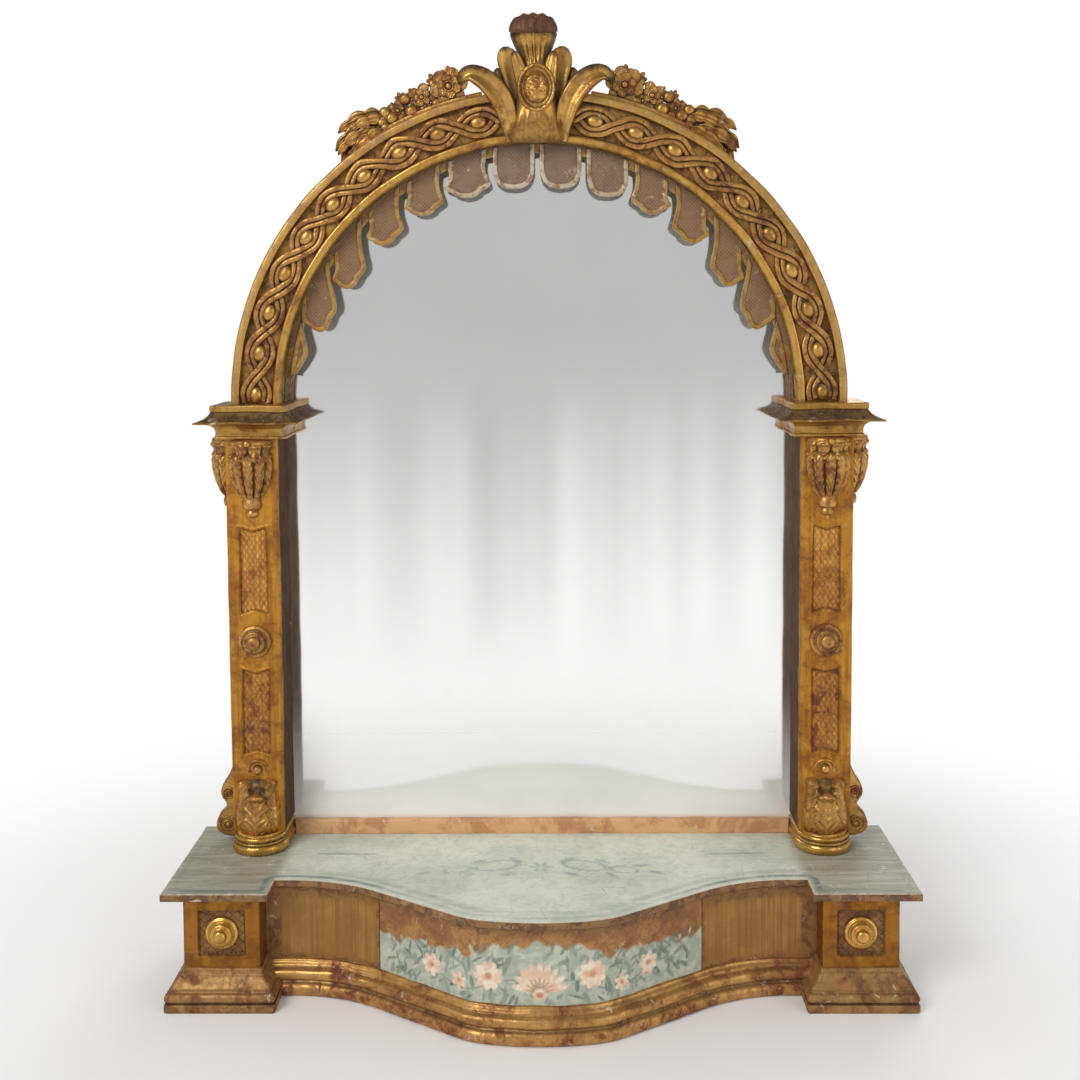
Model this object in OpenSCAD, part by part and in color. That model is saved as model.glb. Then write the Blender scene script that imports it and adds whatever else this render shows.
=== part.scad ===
// Free-standing giltwood mirror: a serpentine plinth with two pedestals and a painted shelf carries two
// pilasters, a semicircular arch with a guilloche, a scalloped pelmet and a carved leaf crest.
// Millimetres. +Z is up, the front faces -Y, and the origin is under the middle of the bounding box.

/* [Plinth] */
// How far a pedestal's base moulding stands out beyond the pilaster above it
plinth_over = 54.5; // [50:0.5:60]
// Width of one pedestal over its base moulding
pedestal_w = 128; // [124:1:134]
// Depth of a pedestal from the back to the front of its base moulding
pedestal_d = 203; // [190:1:220]
// Height of the top of the shelf
shelf_h = 140; // [132:1:150]
// Thickness of the shelf board
shelf_t = 9; // [8:0.5:12]
// Height of the pedestals' base mouldings
base_h = 45; // [40:1:48]
// How far the base mouldings stand out from the dies
base_out = 20; // [16:1:22]
// Height of the bed mouldings under the shelf
bed_h = 6; // [4:0.5:8]
// Side of the square sunk panel on a die
die_panel = 54; // [48:1:58]
// Depth of the sunk panel on a die
die_panel_t = 4; // [2:0.5:6]
// Radius of the turned boss on a die
die_boss_r = 19; // [15:0.5:22]

/* [Serpentine front] */
// How far the bow of the shelf stands in front of the pedestals
bow_out = 70; // [62:1:76]
// How far the shelf's ends lie behind the front of the pedestals
bow_in = 40; // [36:1:46]
// Radius of the middle of the bow
bow_r = 300; // [260:5:340]
// Radius of the shoulders of the bow
shoulder_r = 100; // [85:5:115]
// Half width of the painted middle board of the frieze
frieze_half = 185; // [170:1:200]
// Thickness of the frieze boards
frieze_t = 14; // [10:0.5:18]
// How far the shelf's edge stands in front of the frieze
shelf_over = 14; // [12:0.5:16]
// How far the serpentine base moulding stands in front of the shelf's edge
foot_out = 3; // [1:0.5:5]
// Height of the serpentine base moulding
foot_h = 40; // [36:1:44]

/* [Pilasters] */
// Clear width between the pilasters
clear_w = 626; // [610:2:640]
// Width of a pilaster
pilaster_w = 62.5; // [58:0.5:66]
// Height of the top of the pilasters
pilaster_top = 645; // [610:5:680]
// Depth from the back plane to the front of a pilaster
pilaster_front = 78.5; // [72:0.5:84]
// Height of the half-round foot of a pilaster
foot_block_h = 25; // [20:1:30]
// How far the half-round foot stands in front of the pilaster
foot_block_out = 19; // [12:1:24]
// Width of the sunk panels on a pilaster
panel_w = 33; // [28:1:38]
// Depth of the sunk panels on a pilaster
panel_t = 3; // [1:0.5:4]
// Radius of the turned boss on a pilaster
pil_boss_r = 20; // [16:0.5:23]
// Height of the mirror's sill rail
sill_h = 18; // [14:1:24]

/* [Capitals and arch] */
// Height of a capital without its abacus
capital_h = 33; // [28:1:38]
// How far the sharp edge of a capital stands out
capital_out = 31; // [26:1:34]
// Thickness of the abacus plate
abacus_t = 8; // [6:0.5:10]
// How far the abacus stands out
abacus_out = 14.5; // [12:0.5:17]
// Width of the arch's front face
arch_band = 61; // [58:1:63]
// Depth from the back plane to the front of the arch
arch_front = 68; // [64:0.5:71]
// Width of the outer fillet of the arch
outer_fillet = 10; // [8:0.5:12]
// Width of the inner fillet of the arch
inner_fillet = 14; // [12:0.5:15]
// Depth of the guilloche channel
channel_t = 7; // [5:0.5:9]
// Number of guilloche beads on each side of the crown
bead_count = 10; // [8:1:10]
// Angle between one bead and the next
bead_pitch = 8.5; // [8:0.1:8.8]

/* [Mirror and pelmet] */
// Thickness of the mirror plate
glass_t = 4; // [3:0.5:5]
// Depth from the back plane to the front of the mirror plate
glass_front = 16; // [15:0.5:18]
// Width of the rebate that holds the mirror plate
rebate_w = 5.5; // [4:0.5:8]
// Gap round the mirror plate in its rebate
glass_gap = 0.5; // [0.2:0.1:1]
// Thickness of the backboards
backboard_t = 8; // [6:0.5:9]
// How far the backboards lap on the frame
backboard_lap = 37; // [25:1:44]
// Thickness of the pelmet
pelmet_t = 6; // [4:0.5:8]
// Depth from the arch's front to the pelmet's front
pelmet_set = 18; // [14:0.5:22]
// Depth of the groove that holds the pelmet in the arch
pelmet_groove = 3.5; // [2:0.5:5]

/* [Crest] */
// Height of the crest above the crown of the arch
crest_h = 86; // [74:1:104]
// Half width over the two curled side leaves
crest_half = 88; // [80:1:94]
// Half width of the oval cabochon's ring
cabochon_rx = 21; // [18:0.5:24]
// Half height of the oval cabochon's ring
cabochon_rz = 26.5; // [23:0.5:29]
// Radius of a garland's rose
rose_r = 22; // [19:0.5:24]

/* [Joinery] */
// Diameter of the large dowels
dowel_d = 10; // [8:0.5:12]
// Diameter of the crest's dowels
crest_dowel_d = 6; // [4:0.5:8]
// Radial clearance of a dowel in its hole
dowel_gap = 0.1; // [0.05:0.05:0.2]
// Radial clearance of a brad in its hole
brad_gap = 0.05; // [0.02:0.01:0.1]
// Diameter of a backboard brad
brad_d = 2; // [1.5:0.1:3]
// Length of a backboard brad
brad_l = 22; // [18:1:30]

/* [Hidden] */
$fn = 64;
GILT = [0.72, 0.53, 0.22];
GILT_DARK = [0.5, 0.33, 0.14];
BOLE = [0.66, 0.3, 0.14];
PAINT = [0.72, 0.75, 0.68];
FRIEZE = [0.55, 0.62, 0.54];
PINE = [0.78, 0.64, 0.44];
SILVER = [0.82, 0.84, 0.85];
IRON = [0.25, 0.23, 0.22];

pil_in = clear_w / 2;
pil_x = pil_in + pilaster_w / 2;
pil_out = pil_in + pilaster_w;
half_w = pil_out + plinth_over;
depth = pedestal_d + bow_out + foot_out;
back_y = depth / 2;
shelf_z = shelf_h - shelf_t;

// Pedestals. The slab of the shelf stops slab_step short of the inner edge of the base moulding.
slab_step = 6;
die_w = pedestal_w - 2 * base_out;
die_d = pedestal_d - base_out;
die_x = half_w - pedestal_w / 2;
die_in = die_x - die_w / 2;
die_h = shelf_z - base_h;
panel_z = base_h + (die_h - bed_h) / 2;
shelf_in = half_w - pedestal_w + slab_step;

// Pilasters, capitals and arch. The arch's inner edge stands arch_step inside the pilasters.
arch_step = 4;
shaft_z = shelf_h + foot_block_h;
shaft_d = pilaster_front - backboard_t;
round_y = -pilaster_front - foot_block_out + pilaster_w / 2;
abacus_z = pilaster_top + capital_h;
arch_z = abacus_z + abacus_t;
intrados = pil_in - arch_step;
extrados = intrados + arch_band;
channel_in = intrados + inner_fillet;
channel_out = extrados - outer_fillet;
bead_r = (channel_in + channel_out) / 2;
bead_start = 1.8;
channel_front = arch_front - channel_t;

// Mirror. The plate's lower edge stands glass_lap below the top of the sill rail's lip.
glass_lap = 8;
face_gap = 0.3;
room_half = pil_in + rebate_w;
glass_half = room_half - glass_gap;
glass_z = shelf_h + sill_h - glass_lap;
board_half = pil_in + backboard_lap;
pelmet_front = arch_front - pelmet_set;

// Shifts a piece that is drawn with its back at y = 0 to the model's own frame
module placed() translate([0, back_y, 0]) children();

// One side of the model: side = 1 is the right side, side = -1 the left
module on_side(side) mirror([side < 0 ? 1 : 0, 0, 0]) children();

// Closed skin over rings of points, all with the same number of points. The caps are fans from each
// ring's first point.
module skin(rings) {
    n = len(rings[0]);
    m = len(rings);
    polyhedron(
        points = [for (r = rings) for (p = r) p],
        faces = concat(
            [for (j = [1 : n - 2]) [0, j, j + 1]],
            [for (i = [0 : m - 2]) for (j = [0 : n - 1])
                [i * n + j, (i + 1) * n + j, (i + 1) * n + (j + 1) % n]],
            [for (i = [0 : m - 2]) for (j = [0 : n - 1])
                [i * n + j, (i + 1) * n + (j + 1) % n, i * n + (j + 1) % n]],
            [for (j = [1 : n - 2]) [(m - 1) * n, (m - 1) * n + j + 1, (m - 1) * n + j]]
        ),
        convexity = 8
    );
}

// Block with a moulded front and two moulded sides, mitred at the corners, its flat back at y = 0
// profile is a list of [projection, height]
module mitred(profile, w, d) {
    n = len(profile);
    z0 = profile[0][1];
    z1 = profile[n - 1][1];
    intersection() {
        translate([-w, 0, 0])
            rotate([90, 0, 90])
                linear_extrude(2 * w)
                    polygon(concat([[0, z1], [0, z0]], [for (p = profile) [-d - p[0], p[1]]]));
        rotate([90, 0, 0])
            linear_extrude(2 * d)
                polygon(concat(
                    [for (p = profile) [w / 2 + p[0], p[1]]],
                    [for (i = [n - 1 : -1 : 0]) [-w / 2 - profile[i][0], profile[i][1]]]
                ));
    }
}

// Round moulding in a profile: half an ellipse from z0 to z1 that swells by out beyond base
function torus_curve(base, out, z0, z1) =
    [for (t = [-75 : 30 : 75]) [base + out * cos(t) / cos(15), (z0 + z1) / 2 + (z1 - z0) / 2 * sin(t)]];

// Serpentine front. The half curve runs from the middle of the bow to the right pedestal as two convex
// arcs, a straight flank, a concave arc and a short straight end. Each entry is [x, y, slope].
bow_a = 11.5;
flank_a = 33;
end_flat = 18;
flank_s = sin(flank_a);
flank_c = cos(flank_a);
curve_half = shelf_in - end_flat;
arcs_x = bow_r * sin(bow_a) + shoulder_r * (flank_s - sin(bow_a));
arcs_y = bow_r * (1 - cos(bow_a)) + shoulder_r * (cos(bow_a) - flank_c);
rest_x = curve_half - arcs_x;
rest_y = bow_out + bow_in - arcs_y;
hollow_r = (flank_s * rest_x - flank_c * rest_y) / (1 - flank_c);

function half_front(x_end) = concat(
    [for (i = [0 : 3]) let (a = bow_a * i / 3) [bow_r * sin(a), -bow_out + bow_r * (1 - cos(a)), a]],
    [for (i = [1 : 6]) let (a = bow_a + (flank_a - bow_a) * i / 6)
        [bow_r * sin(bow_a) + shoulder_r * (sin(a) - sin(bow_a)),
         -bow_out + bow_r * (1 - cos(bow_a)) + shoulder_r * (cos(bow_a) - cos(a)), a]],
    [for (i = [0 : 7]) let (a = flank_a * (1 - i / 7))
        [curve_half - hollow_r * sin(a), bow_in - hollow_r * (1 - cos(a)), a]],
    [[x_end, bow_in, 0]]
);

// Whole front from left to right
function whole_front(x_end) = let (h = half_front(x_end)) concat(
    [for (i = [len(h) - 1 : -1 : 1]) [-h[i][0], h[i][1], -h[i][2]]], h);

// Points of the front moved out by e, square to the curve
function front_points(e, x_end) = [for (p = whole_front(x_end))
    [p[0] + e * sin(p[2]), -pedestal_d + p[1] - e * cos(p[2])]];

// Outline between two parallels of the front
function front_band(e0, e1, x_end) = let (a = front_points(e0, x_end), b = front_points(e1, x_end))
    concat(a, [for (i = [len(b) - 1 : -1 : 0]) b[i]]);

// Moulding that runs along the whole serpentine front; profile is a list of [projection, height] that
// starts at a point of the back from which the whole section can be seen
module front_moulding(profile, x_end) {
    path = whole_front(x_end);
    skin([for (i = [len(path) - 1 : -1 : 0]) let (p = path[i]) [for (q = profile)
        [p[0] + q[0] * sin(p[2]), -pedestal_d + p[1] - q[0] * cos(p[2]), q[1]]]]);
}

frieze_y = -pedestal_d + bow_in + shelf_over;

// Pedestals
base_profile = concat(
    [[base_out, 0], [base_out, 10]],
    torus_curve(base_out - 5, 4.5, 10.5, 21.5),
    [[base_out - 6, 22], [base_out - 6, 26], [base_out - 8.5, 29], [base_out - 12, 33],
     [base_out - 14.5, 36.5], [base_out - 15.5, 40], [base_out - 17, 40], [base_out - 17, base_h]]
);
bed_profile = [[1.5, shelf_z - bed_h], [3, shelf_z - bed_h], [4.5, shelf_z - bed_h * 0.55],
    [7.5, shelf_z - bed_h * 0.28], [11, shelf_z - bed_h * 0.17], [11, shelf_z]];

// Space behind the frieze beside a die, where nothing of a pedestal's mouldings stands
module behind_frieze() translate([0, frieze_y, -1]) cube([die_in, -frieze_y + 1, shelf_z + 2]);

module pedestal_base_form() {
    difference() {
        translate([die_x, 0, 0]) mitred(base_profile, die_w, die_d);
        behind_frieze();
    }
}

module pedestal_bed_form() {
    difference() {
        translate([die_x, 0, 0]) mitred(bed_profile, die_w, die_d);
        translate([die_in, -die_d, 0]) cube([die_w, die_d + 1, shelf_z + 1]);
        behind_frieze();
    }
}

// Upright dowels under a pilaster, given as [depth from the back, lowest point, length]
foot_dowels = [[30, shelf_z - 30, shelf_t + foot_block_h + 60], [60, shelf_z - 30, shelf_t + foot_block_h + 60]];
top_dowel_y = 40;
top_dowel_z = pilaster_top - 30;
top_dowel_l = capital_h + abacus_t + 60;

module foot_dowel_set(r, extra) {
    for (d = foot_dowels)
        translate([pil_x, -d[0], d[1] - extra]) cylinder(r = r, h = d[2] + 2 * extra, $fn = 32);
}

module top_dowel(r, extra) {
    translate([pil_x, -top_dowel_y, top_dowel_z - extra])
        cylinder(r = r, h = top_dowel_l + 2 * extra, $fn = 32);
}

dowel_hole_r = dowel_d / 2 + dowel_gap;

module pedestal_die(side) {
    color(GILT) placed() on_side(side) difference() {
        translate([die_in, -die_d, base_h]) cube([die_w, die_d, die_h]);
        translate([die_x - die_panel / 2, -die_d - 1, panel_z - die_panel / 2])
            cube([die_panel, die_panel_t + 1, die_panel]);
        foot_dowel_set(dowel_hole_r, 0.5);
    }
}

module pedestal_base(side) color(GILT_DARK) placed() on_side(side) pedestal_base_form();

module pedestal_bed(side) color(BOLE) placed() on_side(side) pedestal_bed_form();

// Turned boss with a flat back; its axis points to the front
module turned_boss(r, h) {
    rotate([90, 0, 0]) rotate_extrude() polygon([
        [0, 0], [r, 0], [r, h * 0.14], [r * 0.93, h * 0.24], [r * 0.8, h * 0.3], [r * 0.72, h * 0.26],
        [r * 0.66, h * 0.34], [r * 0.68, h * 0.46], [r * 0.6, h * 0.56], [r * 0.44, h * 0.58],
        [r * 0.38, h * 0.66], [r * 0.4, h * 0.8], [r * 0.32, h * 0.93], [r * 0.16, h], [0, h]
    ]);
}

module pedestal_boss(side) {
    color(GILT) placed() on_side(side)
        translate([die_x, -die_d + die_panel_t, panel_z]) turned_boss(die_boss_r, 18);
}

// Frieze
module frieze_board(x0, x1) {
    intersection() {
        linear_extrude(shelf_z) polygon(front_band(-shelf_over, -shelf_over - frieze_t, die_in));
        translate([x0, -depth, 0]) cube([x1 - x0, depth, shelf_z]);
    }
}

module frieze_side(side) color(GILT) placed() on_side(side) frieze_board(frieze_half, die_in);

module frieze_center() color(FRIEZE) placed() frieze_board(-frieze_half, frieze_half);

torus_low = 16;
torus_high = 31;
module serpentine_base_moulding() {
    color(GILT) placed() difference() {
        front_moulding(concat(
            [[-shelf_over, torus_low + 1], [-shelf_over, 0], [foot_out - 6, 0]],
            torus_curve(foot_out - 6, 6, 0.6, torus_low),
            torus_curve(foot_out - 8, 5, torus_low + 2, torus_high),
            [[-7, torus_high + 1], [-7, torus_high + 3], [-10.5, foot_h - 3], [-11, foot_h], [-shelf_over, foot_h]]
        ), die_in);
        for (side = [-1, 1]) on_side(side) translate([die_x, 0, 0]) mitred(base_profile, die_w, die_d);
    }
}

module serpentine_bed_moulding() {
    color(GILT_DARK) placed() difference() {
        front_moulding([
            [-shelf_over, shelf_z - bed_h], [2 - shelf_over, shelf_z - bed_h],
            [3.5 - shelf_over, shelf_z - bed_h * 0.55], [6 - shelf_over, shelf_z - bed_h * 0.28],
            [9 - shelf_over, shelf_z - bed_h * 0.17], [9 - shelf_over, shelf_z], [-shelf_over, shelf_z]
        ], die_in);
        for (side = [-1, 1]) on_side(side) translate([die_x, 0, 0]) mitred(bed_profile, die_w, die_d);
    }
}

// Carcass behind the frieze
carcass_t = 12;
bottom_z = 10;

module plinth_bottom_board() {
    color(PINE) placed() translate([0, 0, bottom_z]) linear_extrude(carcass_t)
        polygon(concat([[-die_in, -carcass_t]], front_points(-shelf_over - frieze_t, die_in), [[die_in, -carcass_t]]));
}

module plinth_back_board() {
    color(PINE) placed() translate([-die_in, -carcass_t, bottom_z])
        cube([2 * die_in, carcass_t, shelf_z - bottom_z]);
}

// Glue blocks stand in the corners between the back board, the dies and the bottom board
block_side = 22;
block_h = 70;

module plinth_glue_blocks() {
    color(PINE) placed() for (side = [-1, 1]) on_side(side)
        for (y = [-carcass_t - block_side, frieze_y + frieze_t])
            translate([die_in - block_side, y, bottom_z + carcass_t]) cube([block_side, block_side, block_h]);
}

module shelf_board() {
    color(PAINT) placed() difference() {
        translate([0, 0, shelf_z]) linear_extrude(shelf_t) polygon(concat(
            [[-half_w, 0], [-half_w, -pedestal_d], [-shelf_in, -pedestal_d]],
            front_points(0, shelf_in),
            [[shelf_in, -pedestal_d], [half_w, -pedestal_d], [half_w, 0]]
        ));
        for (side = [-1, 1]) on_side(side) foot_dowel_set(dowel_hole_r, 1);
    }
}

// Room of the mirror plate in its rebate, open to the back
module mirror_room() {
    rotate([90, 0, 0]) linear_extrude(glass_front + face_gap) union() {
        translate([-room_half, glass_z - face_gap]) square([2 * room_half, arch_z - glass_z + face_gap]);
        translate([0, arch_z]) circle(r = room_half, $fn = 120);
    }
}

// Sill rail between the rings of the two feet: an L section whose lip stands in front of the plate
ring_out = 3;
lip_t = 10;
module sill_rail() {
    bed = sill_h - glass_lap - face_gap;
    lip_y = -glass_front - face_gap;
    color(BOLE) placed() translate([-pil_in + ring_out, 0, shelf_h]) rotate([90, 0, 90])
        linear_extrude(2 * (pil_in - ring_out)) polygon([
            [lip_y - lip_t, 0], [-backboard_t, 0], [-backboard_t, bed], [lip_y, bed], [lip_y, sill_h],
            [lip_y - lip_t + 1, sill_h], [lip_y - lip_t, sill_h - 1.5]
        ]);
}

// Pilaster shaft: two sunk panels whose ends dip in the middle, with room for a boss between them
panel_l = 105;
under_husk = 107;
boss_room = 68;
upper_panel = [pilaster_top - under_husk - panel_l, pilaster_top - under_husk];
lower_panel = [upper_panel[0] - boss_room - panel_l, upper_panel[0] - boss_room];

module sunk_panel(z0, z1) {
    dip = 5;
    translate([pil_x, -pilaster_front + panel_t, 0]) rotate([90, 0, 0]) linear_extrude(panel_t + 1)
        polygon([[-panel_w / 2, z0], [0, z0 + dip], [panel_w / 2, z0],
                 [panel_w / 2, z1], [0, z1 - dip], [-panel_w / 2, z1]]);
}

module pilaster(side) {
    color(GILT) placed() on_side(side) difference() {
        translate([pil_in, -pilaster_front, shaft_z]) cube([pilaster_w, shaft_d, pilaster_top - shaft_z]);
        mirror_room();
        sunk_panel(upper_panel[0], upper_panel[1]);
        sunk_panel(lower_panel[0], lower_panel[1]);
        foot_dowel_set(dowel_hole_r, 0.5);
        top_dowel(dowel_hole_r, 0.5);
        brads(brad_d / 2 + brad_gap, 0.5);
    }
}

// Foot of a pilaster: a block with a half-round front, ringed like a turning
foot_profile = concat(
    [[-0.5, 0]],
    torus_curve(0, ring_out, 0.5, 11.5),
    [[-1, 12], [1, 12.5], [1, 15], [-1, 15.5]],
    torus_curve(-2, ring_out, 16, 22),
    [[-2.5, 22.5], [-2.5, foot_block_h]]
);

module pilaster_foot(side) {
    n = len(foot_profile);
    hw = pilaster_w / 2;
    color(GILT) placed() on_side(side) difference() {
        translate([pil_x, 0, shelf_h]) union() {
            translate([0, round_y, 0]) rotate([0, 0, 180]) rotate_extrude(angle = 180)
                polygon(concat([[0, 0]], [for (p = foot_profile) [hw + p[0], p[1]]], [[0, foot_block_h]]));
            translate([0, -backboard_t, 0]) rotate([90, 0, 0]) linear_extrude(-round_y - backboard_t)
                polygon(concat(
                    [for (p = foot_profile) [hw + p[0], p[1]]],
                    [for (i = [n - 1 : -1 : 0]) [-hw - foot_profile[i][0], foot_profile[i][1]]]
                ));
        }
        mirror_room();
        foot_dowel_set(dowel_hole_r, 1);
    }
}

// Half of a turning, planted on the front of a pilaster; the axis lies behind the face by sink
module planted(sink) {
    intersection() {
        translate([pil_x, -pilaster_front + sink, 0]) children();
        translate([0, -pilaster_front - 60, 0]) cube([half_w, 60, arch_z]);
    }
}

cup_profile = [[0, 0], [25, 0], [28.5, 8], [29, 16], [26.5, 28], [23, 40], [23.5, 50], [28, 60], [30, 65],
    [27, 69], [20, 68], [0, 66]];

module leaf_cup(side) {
    color(GILT_DARK) placed() on_side(side) union() {
        planted(pilaster_front + round_y) translate([0, 0, shaft_z]) rotate_extrude() polygon(cup_profile);
        planted(3) translate([0, 0, shaft_z + 76]) sphere(r = 10);
    }
}

module pilaster_boss(side) {
    color(GILT) placed() on_side(side)
        translate([pil_x, -pilaster_front, (upper_panel[0] + lower_panel[1]) / 2]) turned_boss(pil_boss_r, 14);
}

// Husk pendant, from its tip up to the underside of the capital
husk_profile = [[0, -102], [3, -101], [5, -97], [8, -94], [9.5, -90], [8.5, -86.5], [8, -85], [12.5, -83],
    [13, -77], [12, -73], [15, -66], [20, -54], [24, -40], [25, -26], [23, -20], [19, -15], [20, -11],
    [25, -7], [26, -3], [24, 0], [0, 0]];

module husk(side) {
    color(GILT_DARK) placed() on_side(side)
        planted(4) translate([0, 0, pilaster_top]) rotate_extrude() polygon(husk_profile);
}

side_y = -(pilaster_front + glass_front) / 2;

module side_husk(side) {
    color(GILT_DARK) placed() on_side(side) intersection() {
        translate([pil_out - 3, side_y, pilaster_top]) rotate_extrude() polygon(husk_profile);
        translate([pil_out, side_y - 40, 0]) cube([40, 80, arch_z]);
    }
}

// Scroll bracket on the outer side of a pilaster: a small lobe over a large one
scroll_w = 32;
module side_scroll(side) {
    color(GILT_DARK) placed() on_side(side) intersection() {
        translate([pil_out, side_y + scroll_w / 2, shelf_h]) rotate([90, 0, 0]) linear_extrude(scroll_w) union() {
            translate([10, 27]) circle(r = 15.5);
            translate([7, 66]) circle(r = 12);
            polygon([[0, 12], [14, 20], [13, 44], [10, 56], [16, 70], [9, 84], [4, 98], [0, 108]]);
        }
        union() {
            translate([pil_out + ring_out + 0.2, side_y - scroll_w, shelf_h]) cube([40, 2 * scroll_w, 200]);
            translate([pil_out, side_y - scroll_w, shaft_z + 0.2]) cube([40, 2 * scroll_w, 200]);
        }
    }
}

// Capitals
capital_profile = [[9.5, 0], [10.5, 1], [10.5, 3.5], [9, 4], [9, 9], [10.5, 13], [14, 16.5], [19, 18.5], [26, 19.5],
    [capital_out, 20.5], [capital_out, 22], [26, 23.5], [20, 26], [16.5, 29], [14, capital_h]];

module capital(side) {
    color(GILT_DARK) placed() on_side(side) difference() {
        translate([pil_x, -backboard_t, 0])
            mitred([for (p = capital_profile) [p[0], p[1] + pilaster_top]], pilaster_w, shaft_d);
        mirror_room();
        top_dowel(dowel_hole_r, 1);
    }
}

module abacus(side) {
    color(GILT) placed() on_side(side) difference() {
        translate([pil_in - abacus_out, -pilaster_front - abacus_out, abacus_z])
            cube([pilaster_w + 2 * abacus_out, shaft_d + abacus_out, abacus_t]);
        mirror_room();
        top_dowel(dowel_hole_r, 1);
    }
}

// Arch: a moulded section turned about the springing centre; h is the distance in front of the back plane
pelmet_back = pelmet_front - pelmet_t;
arch_section = [
    [room_half, backboard_t], [extrados, backboard_t], [extrados, arch_front - 2], [extrados - 2, arch_front],
    [channel_out, arch_front], [channel_out - 1, channel_front], [channel_in + 1, channel_front],
    [channel_in, arch_front - 0.5], [channel_in - 3, arch_front - 0.5], [intrados + 3, arch_front - 5],
    [intrados, arch_front - 8], [intrados, pelmet_front + 0.1], [intrados + pelmet_groove, pelmet_front + 0.1],
    [intrados + pelmet_groove, pelmet_back - 0.1], [intrados, pelmet_back - 0.1],
    [intrados, glass_front + 0.3], [room_half, glass_front + 0.3]
];

module arch_segment(from, to) {
    color(GILT) placed() difference() {
        translate([0, 0, arch_z]) rotate([90, 0, 0]) rotate([0, 0, from])
            rotate_extrude(angle = to - from, $fn = 120) polygon(arch_section);
        for (side = [-1, 1]) on_side(side) top_dowel(dowel_hole_r, 0.5);
        crest_dowel_set(crest_dowel_d / 2 + dowel_gap, 0.5);
        brads(brad_d / 2 + brad_gap, 0.5);
    }
}

// Guilloche: two ribbons that swing from side to side and cross between the beads
ribbon_w = 8;
ribbon_h = 6;
ribbon_steps = 8;
bead_h = 8;
swing = (channel_out - channel_in - ribbon_w) / 2 - 1;
run_from = 0.6;
run_to = bead_start + (bead_count - 0.45) * bead_pitch;
run_steps = ceil((run_to - run_from) / bead_pitch * ribbon_steps);

function swing_at(t, sign) = sign * swing * cos(180 * (t - bead_start) / bead_pitch);
function slope_at(t, sign) = -sign * swing * sin(180 * (t - bead_start) / bead_pitch) * 180 / bead_pitch / bead_r;

function ribbon_ring(t, sign) = let (
    r = bead_r + swing_at(t, sign),
    k = slope_at(t, sign),
    nr = 1 / sqrt(1 + k * k),
    nt = -k * nr * 180 / (PI * r)
) [for (q = [[-1, 0], [-0.8, 1], [0.8, 1], [1, 0]]) let (
    rr = r + q[0] * nr * ribbon_w / 2,
    tt = t + q[0] * nt * ribbon_w / 2
) [rr * cos(tt), -channel_front - q[1] * ribbon_h, arch_z + rr * sin(tt)]];

module guilloche(side) {
    color(GILT_DARK) placed() on_side(side) {
        union() {
            for (sign = [-1, 1])
                skin([for (i = [0 : run_steps]) ribbon_ring(run_from + (run_to - run_from) * i / run_steps, sign)]);
        }
        for (i = [0 : bead_count - 1]) let (t = bead_start + i * bead_pitch)
            translate([bead_r * cos(t), -channel_front, arch_z + bead_r * sin(t)]) rotate([90, 0, 0])
                rotate_extrude($fn = 24)
                    polygon([[0, 0], [7, 0], [7.2, 2], [6, 5], [3.5, 7.2], [0, bead_h]]);
    }
}

// Pelmet: seven lappets on each side of the middle, cut from one thin board
slot_x = [0, 56, 112, 161, 207, 249, 288, 312];
lappet_drop = [55, 56, 57, 64, 77, 78, 34];
slot_margin = 10;
slot_half = 3;
pelmet_r = intrados + pelmet_groove - 0.2;

// Half outlines of a lappet, as [share of the half width, share of the drop]
tongue = [[1, 0], [1, 0.4], [0.96, 0.6], [0.85, 0.77], [0.66, 0.89], [0.42, 0.965], [0, 1]];
ogee = [[0.92, 0], [0.9, 0.22], [0.98, 0.42], [1.08, 0.6], [1.0, 0.72], [0.76, 0.8], [0.7, 0.87], [0.4, 0.97], [0, 1]];

// Height of the arch's inner edge over x, moved in by margin
function inner_edge(x, margin) = let (r = intrados - margin) sqrt(max(r * r - x * x, 0));

module lappet(i, shape) {
    x0 = slot_x[i] + slot_half;
    x1 = slot_x[i + 1] - slot_half;
    xm = (x0 + x1) / 2 + min(i, 3);
    top0 = inner_edge(x0, slot_margin);
    top1 = inner_edge(x1, slot_margin);
    tip = inner_edge((x0 + x1) / 2, 0) - lappet_drop[i];
    polygon(concat(
        [[x0, top0 + slot_margin]],
        [for (p = shape) [xm + (x0 - xm) * p[0], top0 + (tip - top0) * p[1]]],
        [for (j = [len(shape) - 2 : -1 : 0]) let (p = shape[j])
            [xm + (x1 - xm) * p[0], top1 + (tip - top1) * p[1]]],
        [[x1, top1 + slot_margin]]
    ));
}

module pelmet(side, plain) {
    color(BOLE) placed() on_side(side) translate([0, -pelmet_back, arch_z]) rotate([90, 0, 0])
        linear_extrude(pelmet_t) intersection() {
            union() {
                difference() {
                    circle(r = pelmet_r, $fn = 180);
                    circle(r = intrados - slot_margin, $fn = 180);
                }
                for (i = [0 : len(lappet_drop) - 1])
                    lappet(i, i < plain ? tongue : ogee);
            }
            circle(r = pelmet_r, $fn = 180);
            translate([0.05, 2]) square(pelmet_r);
        }
}

// Mirror plate and what holds it
module mirror_plate() {
    color(SILVER) placed() translate([0, -glass_front + glass_t, 0]) rotate([90, 0, 0]) linear_extrude(glass_t) union() {
        translate([-glass_half, glass_z]) square([2 * glass_half, arch_z - glass_z]);
        translate([0, arch_z]) circle(r = glass_half, $fn = 180);
    }
}

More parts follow.
